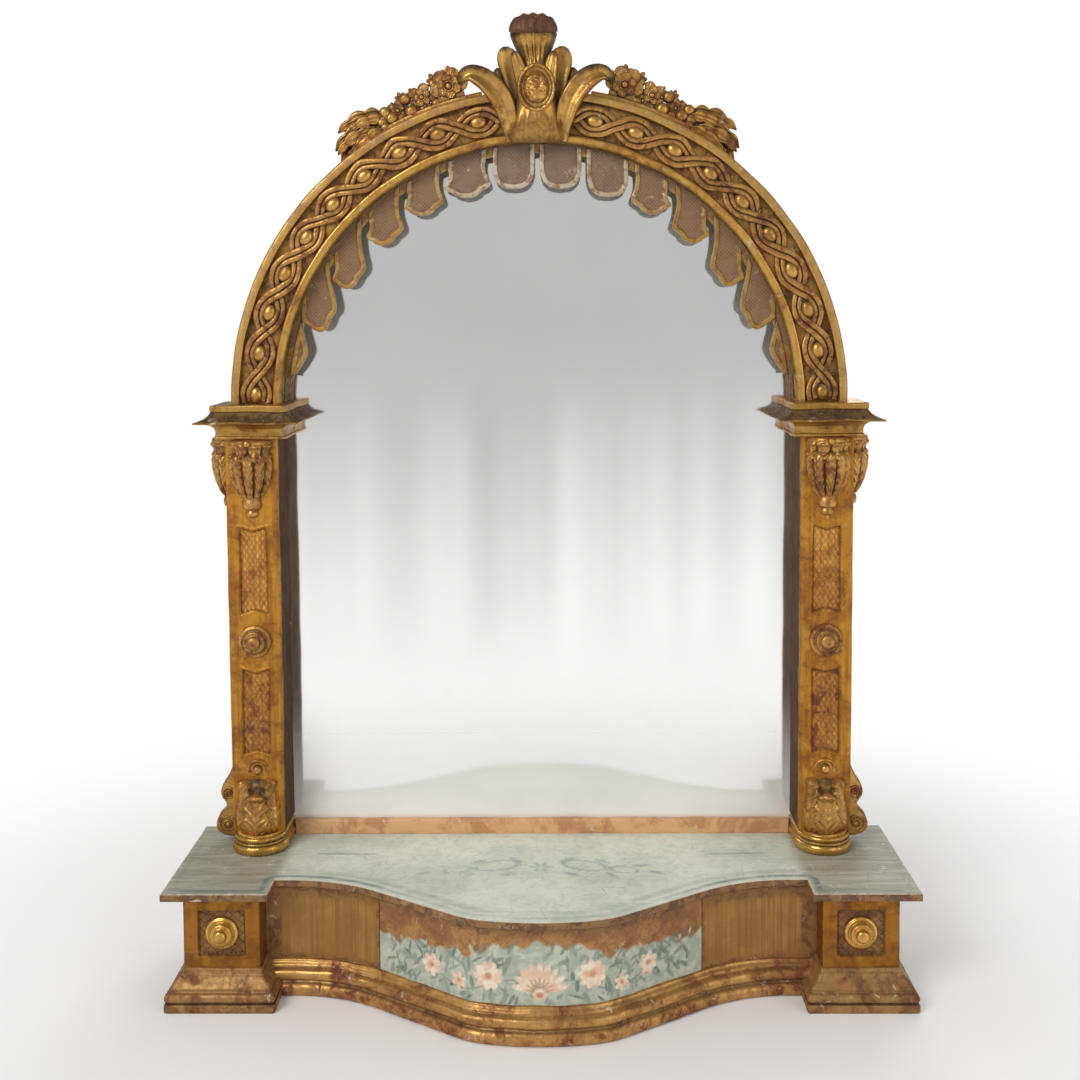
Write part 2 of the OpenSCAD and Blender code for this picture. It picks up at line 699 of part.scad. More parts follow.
plank_x = board_half / 3;
module backboard(x0, x1) {
    color(PINE) placed() difference() {
        rotate([90, 0, 0]) linear_extrude(backboard_t) intersection() {
            union() {
                translate([-board_half, shelf_h]) square([2 * board_half, arch_z - shelf_h]);
                translate([0, arch_z]) circle(r = board_half, $fn = 180);
            }
            translate([x0, 0]) square([x1 - x0, 2 * arch_z]);
        }
        brads(brad_d / 2 + brad_gap, 0.5);
    }
}

// Brads lie on a line that follows the frame behind the boards
brad_line = (pil_in + board_half) / 2;
brad_side_z = [for (i = [0 : 4]) shelf_h + 50 + i * (pilaster_top - shelf_h - 100) / 4];
brad_angles = [20, 45, 70, 110, 135, 160];

module one_brad(r, extra) {
    rotate([90, 0, 0]) translate([0, 0, -extra]) cylinder(r = r, h = brad_l + 2 * extra, $fn = 16);
}

module brads(r, extra) {
    for (side = [-1, 1]) for (z = brad_side_z)
        translate([side * brad_line, 0, z]) one_brad(r, extra);
    for (a = brad_angles)
        translate([brad_line * cos(a), 0, arch_z + brad_line * sin(a)]) one_brad(r, extra);
}

module backboard_brads() color(IRON) placed() brads(brad_d / 2, 0);

// Small blocks wedge the plate in its rebate, between the glass and the backboards
wedge_l = 24;
module glass_blocks() {
    color(PINE) placed() {
        for (side = [-1, 1]) for (z = brad_side_z)
            translate([side * (room_half - 3) - 3, -glass_front + glass_t, z - wedge_l / 2])
                cube([6, glass_front - glass_t - backboard_t, wedge_l]);
        for (a = brad_angles)
            translate([0, 0, arch_z]) rotate([90, 0, 0]) rotate([0, 0, a - 2])
                translate([0, 0, backboard_t])
                    rotate_extrude(angle = 4, $fn = 120)
                        translate([room_half - 6, 0]) square([5.8, glass_front - glass_t - backboard_t]);
    }
}

// Dowels
module pilaster_dowels() {
    color(PINE) placed() for (side = [-1, 1]) on_side(side) foot_dowel_set(dowel_d / 2, 0);
}

module capital_dowels() {
    color(PINE) placed() for (side = [-1, 1]) on_side(side) top_dowel(dowel_d / 2, 0);
}

crest_dowel_l = 24;
crest_dowel_y = arch_front - 14;
crest_dowel_x = 14;
crest_dowel_z = arch_z + channel_out + 4;

module crest_dowel_set(r, extra) {
    for (side = [-1, 1])
        translate([side * crest_dowel_x, -crest_dowel_y + extra, crest_dowel_z])
            rotate([90, 0, 0]) cylinder(r = r, h = crest_dowel_l + 2 * extra, $fn = 24);
}

module crest_dowels() color(PINE) placed() crest_dowel_set(crest_dowel_d / 2, 0);

// Crest. Rings with a flat back, in a level plane, make the body of the leaf.
crest_back = arch_front + 0.1;
crest_top = arch_z + extrados + crest_h;
cap_h = 22;
cap_z = crest_top - cap_h;
crest_foot = arch_z + intrados - 1;
leaf_h = cap_z - crest_foot;

function flat_ring(z, a, b) = [for (i = [0 : 12]) let (t = 15 * i) [-a * cos(t), -crest_back - b * sin(t), z]];

// Ring of an oval across a path in the upright plane; w is half the width, d half the depth
function leaf_ring(p, dir, w, d, y) = [for (i = [0 : 11]) let (t = 30 * i)
    [p[0] - dir[1] * w * cos(t), y - d * sin(t), p[1] + dir[0] * w * cos(t)]];

function unit(v) = v / norm(v);

// Leaf or stem along a path of [x, z, half width, half depth]
module leaf_stem(path, y) {
    n = len(path);
    skin([for (i = [0 : n - 1]) let (
        a = path[max(i - 1, 0)],
        b = path[min(i + 1, n - 1)],
        dir = unit([b[0] - a[0], b[1] - a[1]])
    ) leaf_ring([path[i][0], path[i][1]], dir, path[i][2], path[i][3], y)]);
}

// Rings of the leaf as [share of its height, half width, depth]
body_rings = [[0, 37, 10], [0.05, 35, 15], [0.13, 29, 19], [0.27, 27, 22], [0.44, 30, 23], [0.6, 26, 20],
    [0.71, 20, 17], [0.81, 23, 17], [0.92, 29, 21], [1, 32, 24]];
volute_reach = 88;
volute = [[14, 4, 9, 9], [24, 22, 10, 10], [36, 42, 11, 11], [49, 59, 12, 12], [62, 70, 12, 12],
    [74, 75, 10, 11], [81, 73, 7.5, 9], [83, 66, 5, 6], [80, 61, 2.5, 4]];
side_leaf = [[18, 50, 7, 8], [26, 62, 10, 9], [33, 74, 10, 9], [37, 84, 7, 7], [39, 92, 2.5, 4]];
seat_y = crest_back + 17;

module crest_leaf() {
    color(GILT) placed() difference() {
        union() {
            skin([for (r = body_rings) flat_ring(crest_foot + leaf_h * r[0], r[1], r[2])]);
            for (side = [-1, 1]) on_side(side) {
                translate([crest_half - volute_reach, 0, crest_foot]) leaf_stem(volute, -crest_back - 12.5);
                translate([0, 0, crest_foot]) leaf_stem(side_leaf, -crest_back - 9.5);
            }
        }
        translate([-cabochon_rx - 2, -seat_y - crest_h, cabochon_z - cabochon_rz - 2])
            cube([2 * cabochon_rx + 4, crest_h, 2 * cabochon_rz + 4]);
        crest_dowel_set(crest_dowel_d / 2 + dowel_gap, 0.5);
        translate([-half_w, -depth, cap_z]) cube([2 * half_w, depth, crest_h]);
    }
}

// Leaf tip that curls over to the front, ribbed like a shell
cap_half = 28.5;
cap_half_d = 15.5;
module crest_cap() {
    n = 14;
    color(GILT_DARK) placed() skin([for (i = [0 : n]) let (
        u = -1 + 2 * i / n,
        s = sqrt(1 - 0.8 * u * u * u * u) * (1 + 0.05 * cos(540 * u)) / 1.05
    ) [for (j = [0 : 12]) let (t = 15 * j)
        [cap_half * u, -crest_back - cap_half_d * (1 - s * cos(t)), cap_z + cap_h * s * sin(t)]]]);
}

// Oval ring and domed cabochon in one turned-up form, given as [share of the radius, height]
cabochon_z = arch_z + extrados - 1;
cabochon_steps = [[1, 0], [1.02, 3], [0.97, 5.5], [0.9, 6], [0.8, 4.5], [0.72, 3.5], [0.68, 5.5], [0.55, 8],
    [0.35, 10], [0.12, 11]];

module crest_cabochon() {
    color(GILT) placed() translate([0, -seat_y, cabochon_z])
        skin([for (s = cabochon_steps) [for (i = [0 : 23]) let (t = 15 * i)
            [cabochon_rx * s[0] * cos(t), -s[1], cabochon_rz * s[0] * sin(t)]]]);
}

// Garland: a stem lies on the arch and carries a rose, berries and a spray of three leaves
garland_y = -(arch_front - 22);
rose_angle = 74.5;
spray_angle = 61.5;
stem_from = 53;
stem_to = 80;
berry_places = [[66.5, 9], [68.5, 13], [65, 18], [68, 22], [63.8, 11], [62.6, 17], [61.8, 8]];
spray = [[0, 9, 9, 9], [14, 12, 13, 12], [34, 12, 13, 12], [56, 8, 9, 9], [72, 4, 3, 3]];

function on_arch(angle, up) = [(extrados + up) * cos(angle), arch_z + (extrados + up) * sin(angle)];

module garland(side) {
    rose_at = on_arch(rose_angle, 0.93 * rose_r);
    petal_at = 0.64 * rose_r;
    color(GILT_DARK) placed() on_side(side) union() {
        translate([0, 0, arch_z]) rotate([90, 0, 0]) rotate([0, 0, stem_from])
            translate([0, 0, -garland_y - 12])
                rotate_extrude(angle = stem_to - stem_from, $fn = 120)
                    translate([extrados, 0]) square([6, 24]);
        translate([rose_at[0], garland_y + 6, rose_at[1]]) rotate([90, 0, 0]) cylinder(r = rose_r * 0.68, h = 16);
        translate([rose_at[0], garland_y - 10, rose_at[1]]) sphere(r = rose_r * 0.3, $fn = 24);
        for (i = [0 : 5]) let (a = rose_angle + 60 * i + 30)
            translate([rose_at[0] + petal_at * cos(a), garland_y - 6, rose_at[1] + petal_at * sin(a)])
                sphere(r = rose_r * 0.36, $fn = 24);
        for (b = berry_places) let (p = on_arch(b[0], b[1]))
            translate([p[0], garland_y - 2, p[1]]) sphere(r = 7.5, $fn = 24);
        for (k = [0 : 2]) let (p = on_arch(spray_angle, 3 + 9 * k))
            translate([p[0], garland_y + 6 - k * 4, p[1]]) rotate([0, 84 - spray_angle + 9 * k, 0])
                leaf_stem(spray * (1 - 0.12 * k), 0);
    }
}

plinth_bottom_board();
plinth_back_board();
plinth_glue_blocks();
frieze_side(-1);  // frieze_left
frieze_center();
frieze_side(1);  // frieze_right
serpentine_base_moulding();
serpentine_bed_moulding();
pedestal_die(-1);  // left_pedestal_die
pedestal_die(1);  // right_pedestal_die
pedestal_base(-1);  // left_pedestal_base
pedestal_base(1);  // right_pedestal_base
pedestal_bed(-1);  // left_bed_moulding
pedestal_bed(1);  // right_bed_moulding
pedestal_boss(-1);  // left_pedestal_boss
pedestal_boss(1);  // right_pedestal_boss
shelf_board();
sill_rail();
pilaster(-1);  // left_pilaster
pilaster(1);  // right_pilaster
pilaster_foot(-1);  // left_pilaster_foot
pilaster_foot(1);  // right_pilaster_foot
leaf_cup(-1);  // left_leaf_cup
leaf_cup(1);  // right_leaf_cup
pilaster_boss(-1);  // left_pilaster_boss
pilaster_boss(1);  // right_pilaster_boss
husk(-1);  // left_husk
husk(1);  // right_husk
side_husk(-1);  // left_side_husk
side_husk(1);  // right_side_husk
side_scroll(-1);  // left_side_scroll
side_scroll(1);  // right_side_scroll
capital(-1);  // left_capital
capital(1);  // right_capital
abacus(-1);  // left_abacus
abacus(1);  // right_abacus
arch_segment(135, 180);  // arch_left_lower
arch_segment(90, 135);  // arch_left_upper
arch_segment(45, 90);  // arch_right_upper
arch_segment(0, 45);  // arch_right_lower
guilloche(-1);  // guilloche_left
guilloche(1);  // guilloche_right
pelmet(-1, 1);  // pelmet_left
pelmet(1, 2);  // pelmet_right
mirror_plate();
backboard(-board_half, -plank_x);  // backboard_left
backboard(-plank_x, plank_x);  // backboard_center
backboard(plank_x, board_half);  // backboard_right
glass_blocks();
backboard_brads();
pilaster_dowels();
capital_dowels();
crest_dowels();
crest_leaf();
crest_cap();
crest_cabochon();
garland(-1);  // left_garland
garland(1);  // right_garland
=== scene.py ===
# %% [markdown]
# # Giltwood mirror
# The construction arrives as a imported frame: boards, pilasters, arch and crest at their real sizes. This
# file gives it its looks: softened mouldings, carving, gilding rubbed down to red clay, and old paint.
# Every new piece is a surface worked out with numpy and then put in the place of the plain CAD node.

import math

import bmesh
import bpy
import numpy as np
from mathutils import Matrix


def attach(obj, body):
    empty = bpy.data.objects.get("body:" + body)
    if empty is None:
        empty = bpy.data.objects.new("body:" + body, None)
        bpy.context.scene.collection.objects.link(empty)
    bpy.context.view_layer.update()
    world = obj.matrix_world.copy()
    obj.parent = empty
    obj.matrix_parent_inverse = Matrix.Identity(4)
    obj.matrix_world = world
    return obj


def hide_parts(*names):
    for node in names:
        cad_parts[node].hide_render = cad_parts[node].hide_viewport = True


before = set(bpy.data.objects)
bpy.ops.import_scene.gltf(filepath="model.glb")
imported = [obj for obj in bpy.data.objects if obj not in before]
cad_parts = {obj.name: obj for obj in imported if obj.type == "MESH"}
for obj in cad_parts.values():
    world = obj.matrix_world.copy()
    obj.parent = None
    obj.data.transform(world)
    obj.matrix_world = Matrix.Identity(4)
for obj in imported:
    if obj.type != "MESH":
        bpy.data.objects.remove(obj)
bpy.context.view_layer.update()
MM = 0.001

# %% New objects
def link(name, data):
    """A new object for the data, in the scene."""
    made = bpy.data.objects.new(name, data)
    bpy.context.scene.collection.objects.link(made)
    return made


# %% [markdown]
# ## Camera
# The view is from almost straight in front, a little above the foot of the arch, and looks down on the
# painted shelf. Its verticals stay nearly upright, which a small lens shift gives without turning the
# camera further down.

# %% Camera
FRAME_PIXELS = 1080
FOCAL_PIXELS = 1333.0
OPTICAL_ROW = 410.0
SENSOR = 36.0
camera_data = bpy.data.cameras.new("camera")
camera_data.sensor_width = SENSOR
camera_data.lens = SENSOR * FOCAL_PIXELS / FRAME_PIXELS
camera_data.shift_y = (OPTICAL_ROW - FRAME_PIXELS / 2) / FRAME_PIXELS
camera = link("camera", camera_data)
camera.location = (0.0213, -1.5231, 0.7916)
camera.rotation_euler = (math.radians(90 - 4.105), math.radians(0.359), math.radians(0.674))
bpy.context.scene.camera = camera
print("lens", round(camera_data.lens, 2), "mm, shift", round(camera_data.shift_y, 3))

# %% [markdown]
# ## Helpers for shapes
# A moulding is a profile carried along a path, and a carved form is a sheet that two parameters run
# over. Both come to the same thing: a grid of points. One writer turns any number of grids into a
# closed mesh, merges their shared edges and turns the faces outwards.


# %% Writing grids into a mesh
def grid_faces(rows, cols, closed, start):
    """Quads between neighbouring points of a grid, as rows of four vertex numbers counted from start."""
    i, j = np.meshgrid(np.arange(rows - 1), np.arange(cols if closed else cols - 1), indexing="ij")
    i2, j2 = i + 1, (j + 1) % cols
    quads = np.stack([i * cols + j, i2 * cols + j, i2 * cols + j2, i * cols + j2], axis=-1)
    return quads.reshape(-1, 4) + start


def sheet(points, closed=False, caps=False, **marks):
    """A grid of points in mm with what the writer must know: whether each row closes on itself, whether
    flat caps close the first and last row, and named values for each point."""
    return dict(points=np.asarray(points, float), closed=closed, caps=caps, marks=marks)


def bar(points, **marks):
    """A sheet whose rows are closed outlines, with a flat cap at both ends."""
    return sheet(points, closed=True, caps=True, **marks)


def put(name, sheets, material, smooth=38, side=1, nodes=()):
    """One piece from a list of sheets, in the place of the CAD node of its name or of other nodes.
    side = -1 writes the mirror image, for the left of a pair. Edges sharper than smooth degrees stay hard."""
    points, faces, count = [], [], 0
    values = {key: [] for s in sheets for key in s["marks"]}
    for s in sheets:
        rows, cols = s["points"].shape[:2]
        faces += grid_faces(rows, cols, s["closed"], count).tolist()
        if s["caps"]:
            faces += [list(range(first, first + cols)) for first in (count, count + (rows - 1) * cols)]
        points.append(s["points"].reshape(-1, 3))
        for key in values:
            values[key].append(np.broadcast_to(s["marks"].get(key, 0.0), (rows, cols)).reshape(-1))
        count += rows * cols
    mesh = bpy.data.meshes.new(name)
    mesh.from_pydata((np.concatenate(points) * (MM * side, MM, MM)).tolist(), [], faces)
    for key, value in values.items():
        layer = mesh.attributes.new(key, "FLOAT", "POINT")
        layer.data.foreach_set("value", np.concatenate(value).astype(np.float32))
    work = bmesh.new()
    work.from_mesh(mesh)
    bmesh.ops.remove_doubles(work, verts=work.verts, dist=MERGE)
    bmesh.ops.recalc_face_normals(work, faces=work.faces)
    work.to_mesh(mesh)
    work.free()
    mesh.shade_smooth()
    mesh.set_sharp_from_angle(angle=math.radians(smooth))
    mesh.materials.append(material)
    piece = link(name, mesh)
    print(name, len(mesh.vertices), "points")
    nodes = nodes or [name]
    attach(piece, "root")
    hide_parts(*nodes)


MERGE = 2e-5
print("points merge within", MERGE, "m")


# %% Noise, easing and rounded outlines
def wobble(p, size, seed):
    """Smooth noise, mostly between -1 and 1, at points p: nine sine waves with seeded directions and
    phases, whose lengths lie round size, added and divided by three."""
    random = np.random.default_rng(seed)
    total = np.zeros(p.shape[:-1])
    for _ in range(9):
        way = random.normal(size=3)
        way /= np.linalg.norm(way)
        wave = size * random.uniform(0.6, 1.6)
        total += np.sin(p @ way * (2 * np.pi / wave) + random.uniform(0, 2 * np.pi))
    return total / 3.0


def by_hand(p, amount=0.35, size=45.0):
    """Points moved by smooth noise in x and z, as a hand-cut line wanders. z stays near the floor, and
    x moves less towards the sides."""
    moved = p.copy()
    moved[..., 0] += amount * wobble(p, size, 11) * np.clip(1.5 - np.abs(p[..., 0]) / 420, 0, 1)
    moved[..., 2] += amount * wobble(p, size, 12) * np.clip(p[..., 2] / 30, 0, 1)
    return moved


def hand_cut(grid, amount=0.35, size=45.0):
    """A grid with its points moved by_hand, as the only sheet of a piece."""
    grid["points"] = by_hand(grid["points"], amount, size)
    return [grid]


def ease(x, start, end):
    """0 before start, 1 after end, and the smooth cubic 3t^2 - 2t^3 between. start may exceed end."""
    t = np.clip((x - start) / (end - start), 0, 1)
    return t * t * (3 - 2 * t)


def hump(off, width):
    """exp(-(off / width)^2): 1 where off = 0, and next to nothing beyond twice the width."""
    return np.exp(-((off / width) ** 2))


def soft(points, radius, steps=4, closed=False):
    """Outline with rounded corners. Each corner gives way to the quadratic curve
    (1-t)^2 a + 2t(1-t) corner + t^2 b, whose ends a and b lie radius along its two sides, or less on
    a short side."""
    p = np.asarray(points, float)
    back, ahead = np.roll(p, 1, axis=0) - p, np.roll(p, -1, axis=0) - p
    cut = []
    for side in (back, ahead):
        length = np.linalg.norm(side, axis=1)[:, None]
        cut.append(p + side / length * np.minimum(radius, 0.45 * length))
    t = np.linspace(0, 1, steps + 1)[None, :, None]
    curve = (1 - t) ** 2 * cut[0][:, None] + 2 * t * (1 - t) * p[:, None] + t**2 * cut[1][:, None]
    if closed:
        return curve.reshape(-1, 2)
    return np.concatenate([p[:1], curve[1:-1].reshape(-1, 2), p[-1:]])


def torus(base, out, low, high, count=11):
    """Round moulding in a profile: half an ellipse from low to high that swells by out beyond base."""
    a = np.radians(np.linspace(-80, 80, count))
    return np.stack([base + out * np.cos(a), (low + high) / 2 + (high - low) / 2 * np.sin(a)], axis=1)


def profile(*parts):
    """Lists of [projection, height] joined into one array."""
    return np.concatenate([np.asarray(part, float).reshape(-1, 2) for part in parts])


def fill(points, step):
    """Outline with extra points, so that none of its segments is longer than step."""
    p = np.asarray(points, float)
    parts = np.maximum(1, np.ceil(np.linalg.norm(np.diff(p, axis=0), axis=1) / step)).astype(int)
    runs = [np.linspace(a, b, n, endpoint=False) for a, b, n in zip(p, p[1:], parts)]
    return np.concatenate(runs + [p[-1:]])


def flow(points, count):
    """Smooth curve through rows of numbers: the Catmull-Rom cubic b + f/2 (c-a + f (2a-5b+4c-d +
    f (3b-3c+d-a))) between b and c, at count even steps."""
    p = np.asarray(points, float)
    p = np.concatenate([2 * p[:1] - p[1:2], p, 2 * p[-1:] - p[-2:-1]])
    t = np.linspace(0, len(p) - 3, count)
    i = np.minimum(t.astype(int), len(p) - 4)
    f = (t - i)[:, None]
    a, b, c, d = p[i], p[i + 1], p[i + 2], p[i + 3]
    return b + 0.5 * f * (c - a + f * (2 * a - 5 * b + 4 * c - d + f * (3 * (b - c) + d - a)))


# %% Points, directions and distances
def sine(degrees):
    """Sine of an angle in degrees."""
    return np.sin(np.radians(degrees))


def cosine(degrees):
    """Cosine of an angle in degrees."""
    return np.cos(np.radians(degrees))


def circle(count):
    """count angles in even steps round a full turn, in radians."""
    return np.linspace(0, 2 * np.pi, count, endpoint=False)


def join(*columns):
    """Coordinates that broadcast together, as one array of points."""
    return np.stack(np.broadcast_arrays(*columns), -1)


def rotate(u, v, angle):
    """The vector u, v turned by angle degrees: u cos - v sin, u sin + v cos."""
    c, s = math.cos(math.radians(angle)), math.sin(math.radians(angle))
    return u * c - v * s, u * s + v * c


def normals(line):
    """Unit vectors across a line of points, a quarter turn to the left of its way."""
    way = np.gradient(line, axis=0)
    way /= np.linalg.norm(way, axis=1)[:, None]
    return np.stack([-way[:, 1], way[:, 0]], 1)


def distance(grid, outline):
    """From each flat point of a grid to the nearest point of an outline."""
    parts = np.array_split(grid.reshape(-1, 2), 60)
    near = [np.sqrt(((part[:, None] - outline) ** 2).sum(-1)).min(1) for part in parts]
    return np.concatenate(near).reshape(grid.shape[:2])


# %% [markdown]
# ## Shared shader groups
# Old gilding tells its age by where it is worn and where dirt has gathered. Two ambient-occlusion
# lookups find those places on any mesh: one looks outwards and darkens hollows, one looks inwards and
# finds ridges and arrises. Both run only on the piece itself.

# %% Wires: formulas that build nodes
class Wire:
    """An output socket that formulas can use. Each +, -, * and / adds one Math node."""

    def __init__(self, socket):
        self.socket, self.tree = socket, socket.id_data

    def __add__(self, other):
        return combine("ADD", self, other)

    def __sub__(self, other):
        return combine("SUBTRACT", self, other)

    def __rsub__(self, other):
        return combine("SUBTRACT", other, self)

    def __mul__(self, other):
        return combine("MULTIPLY", self, other)

    def __truediv__(self, other):
        return combine("DIVIDE", self, other)

    def clipped(self):
        """The result of a Math node held between 0 and 1."""
        self.socket.node.use_clamp = True
        return self


def wires(made):
    """A node's outputs by number and by name."""
    return {key: Wire(socket) for k, socket in enumerate(made.outputs) for key in (k, socket.name)}


def feed(socket, value):
    """Gives an input socket a wire or a plain value. A colour of three numbers is opaque."""
    if isinstance(value, Wire):
        socket.id_data.links.new(value.socket, socket)
    elif socket.type == "RGBA":
        socket.default_value = (*value, 1.0)
    else:
        socket.default_value = value


def node(kind, inputs, tree=None, **settings):
    """The outputs of a new shader node. inputs is {name or number: value or wire}, and the first wire
    among them says which tree it goes into."""
    tree = tree or next(value.tree for value in inputs.values() if isinstance(value, Wire))
    made = tree.nodes.new("ShaderNode" + kind)
    for key, value in settings.items():
        setattr(made, key, value)
    for key, value in inputs.items():
        feed(made.inputs[key], value)
    return wires(made)


# %% Nodes that the finishes share
def combine(operation, a, b=0.0):
    """The result of one Math node."""
    return node("Math", {0: a, 1: b}, operation=operation)[0]


def most(first, *others):
    """The largest of several wires."""
    for other in others:
        first = combine("MAXIMUM", first, other)
    return first


def band(value, start, end, low=0.0, high=1.0):
    """value mapped smoothly from start..end to low..high."""
    inputs = {"Value": value, "From Min": start, "From Max": end, "To Min": low, "To Max": high}
    return node("MapRange", inputs, interpolation_type="SMOOTHSTEP")["Result"]


def blend(factor, a, b):
    """Colour a mixed with colour b."""
    return node("Mix", {0: factor, 6: a, 7: b}, data_type="RGBA")[2]


def layers(colour, *over):
    """A colour with others laid over it, each as (how much, colour)."""
    for amount, tone in over:
        colour = blend(amount, colour, tone)
    return colour


def noise(vector, scale, detail=3.0, roughness=0.55, distortion=0.0):
    """A noise texture's value."""
    inputs = {"Vector": vector, "Scale": scale, "Detail": detail, "Roughness": roughness}
    return node("TexNoise", dict(inputs, Distortion=distortion))[0]


def scaled(vector, *scale):
    """Coordinates times scale. A small number draws the pattern out along that axis."""
    return node("Mapping", {"Vector": vector, "Scale": scale})[0]


def bump(height, strength, depth):
    """A Bump node's normal."""
    return node("Bump", {"Height": height, "Strength": strength, "Distance": depth})[0]


def shared(name, formula, **inputs):
    """A shader group. inputs gives each input's default, None for a vector, and formula returns the float
    outputs by name from the wires of the inputs."""
    tree = bpy.data.node_groups.new(name, "ShaderNodeTree")
    for title, value in inputs.items():
        kind = "NodeSocketVector" if value is None else "NodeSocketFloat"
        socket = tree.interface.new_socket(title, in_out="INPUT", socket_type=kind)
        if value is not None:
            socket.default_value = value
    results = formula(wires(tree.nodes.new("NodeGroupInput")))
    for title in results:
        tree.interface.new_socket(title, in_out="OUTPUT", socket_type="NodeSocketFloat")
    end = tree.nodes.new("NodeGroupOutput")
    for title, wire in results.items():
        feed(end.inputs[title], wire)
    print("group", name, list(results))
    return tree


def shifted(given):
    """A group's coordinates moved by its seed."""
    return node("VectorMath", {0: given["Vector"], 1: given["Seed"]}, operation="ADD")[0]


# %% Wear group: hollows and edges
def wear_masks(given):
    """Hollow = 1 - open sky within Reach, and Edge = 1 - solid within Inward, both stretched to 0..1."""
    local = dict(samples=6, only_local=True)
    sky = node("AmbientOcclusion", {"Distance": given["Reach"]}, **local)["AO"]
    body = node("AmbientOcclusion", {"Distance": given["Inward"]}, inside=True, **local)["AO"]
    return {"Hollow": band(sky, 0.95, 0.35), "Edge": band(body, 0.92, 0.45)}


WEAR = shared("wear", wear_masks, Reach=0.006, Inward=0.002)


# %% Age group: broad and fine patches
def age_masks(given):
    """Masks for rubbed patches, mottling, upright streaks, lost gesso and pits, and a hammered height."""
    moved = shifted(given)
    return {
        "Rubbed": band(noise(moved, 24.0, 6.0, 0.68, 0.5), 0.44, 0.60),
        "Mottle": band(noise(moved, 70.0, 7.0, 0.74, 0.8), 0.47, 0.585),
        "Streaks": band(noise(scaled(moved, 1.0, 1.0, 0.05), 260.0, 4.0, 0.65), 0.38, 0.66),
        "Loss": band(noise(moved, 62.0, 5.0, 0.75, 0.9), 0.62, 0.65),
        "Pits": band(noise(moved, 340.0, 3.0, 0.6), 0.60, 0.70),
        "Height": noise(moved, 60.0, 3.0, 0.6) + noise(moved, 420.0, 2.0, 0.5) * 0.2
    }


AGE = shared("age", age_masks, Vector=None, Seed=0.0)


# %% Hatch group: cross-hatched ground cut with a gouge
def hatch_grooves(given):
    """Two families of slanted grooves: |fraction of (x + z) / Pitch - 1/2| and the same for x - z."""
    axes = node("SeparateXYZ", {0: given["Vector"]})
    across = axes[0] + noise(given["Vector"], 40.0, 2.0) * 0.003
    down = axes[2] * given["Slope"]
    parts = [combine("FRACT", way / given["Pitch"]) for way in (across + down, across - down)]
    return {"Groove": most(*(band(combine("ABSOLUTE", part - 0.5), 0.16, 0.02) for part in parts))}


HATCH = shared("hatch", hatch_grooves, Vector=None, Pitch=0.004, Slope=1.0)


# %% Grain group: sawn and planed pine
def grain_tones(given):
    """Long streaks along z with slow waves, as a tone and a height, and broad stains."""
    moved = shifted(given)
    long = scaled(moved, 1.0, 1.0, 0.045)
    rings = noise(long, 85.0, 3.0, 0.6, 1.2)
    return {
        "Tone": band(rings, 0.35, 0.66), "Height": rings * 0.5 + noise(long, 900.0, 2.0, 0.6),
        "Stain": band(noise(moved, 7.0, 4.0, 0.6), 0.45, 0.7)
    }


GRAIN = shared("grain", grain_tones, Vector=None, Seed=0.0)


# %% [markdown]
# ## Materials
# Water gilding is leaf gold over red clay over white gesso over pine. Rubbing shows the clay on the
# ridges, dirt and glaze sit in the hollows, and chips show the pale gesso. So one function makes every
# gilt finish from two tones of leaf and a few amounts.


# %% Material shell
class Finish:
    """A new material, its object coordinates and the wires that its formulas start from."""

    def __init__(self, name):
        self.material = bpy.data.materials.new(name)
        self.material.use_nodes = True
        self.tree = self.material.node_tree
        self.place = node("TexCoord", {}, self.tree)["Object"]

    def mark(self, title):
        """An attribute of the mesh, 0 where the mesh has none of that name."""
        return node("Attribute", {}, self.tree, attribute_name=title)["Fac"]

    def use(self, group, **inputs):
        """The outputs of a shared group placed in the material."""
        return node("Group", inputs, self.tree, node_tree=group)

    def aged(self, seed):
        """The age group's masks over the object coordinates."""
        return self.use(AGE, Vector=self.place, Seed=seed)

    def hatched(self, pitch, slope=1.0):
        """The hatch group's grooves over the object coordinates."""
        return self.use(HATCH, Vector=self.place, Pitch=pitch, Slope=slope)["Groove"]

    def done(self, **inputs):
        """The material, once its Principled node has these inputs, named with _ for each space."""
        skin = self.tree.nodes["Principled BSDF"]
        for key, value in inputs.items():
            feed(skin.inputs[key.replace("_", " ")], value)
        return self.material


GESSO = (0.62, 0.50, 0.36)
CLAY = (0.17, 0.055, 0.024)
UMBER = (0.045, 0.023, 0.010)
RUSSET = (0.27, 0.095, 0.029)
DULL_LEAF = (0.42, 0.27, 0.13)


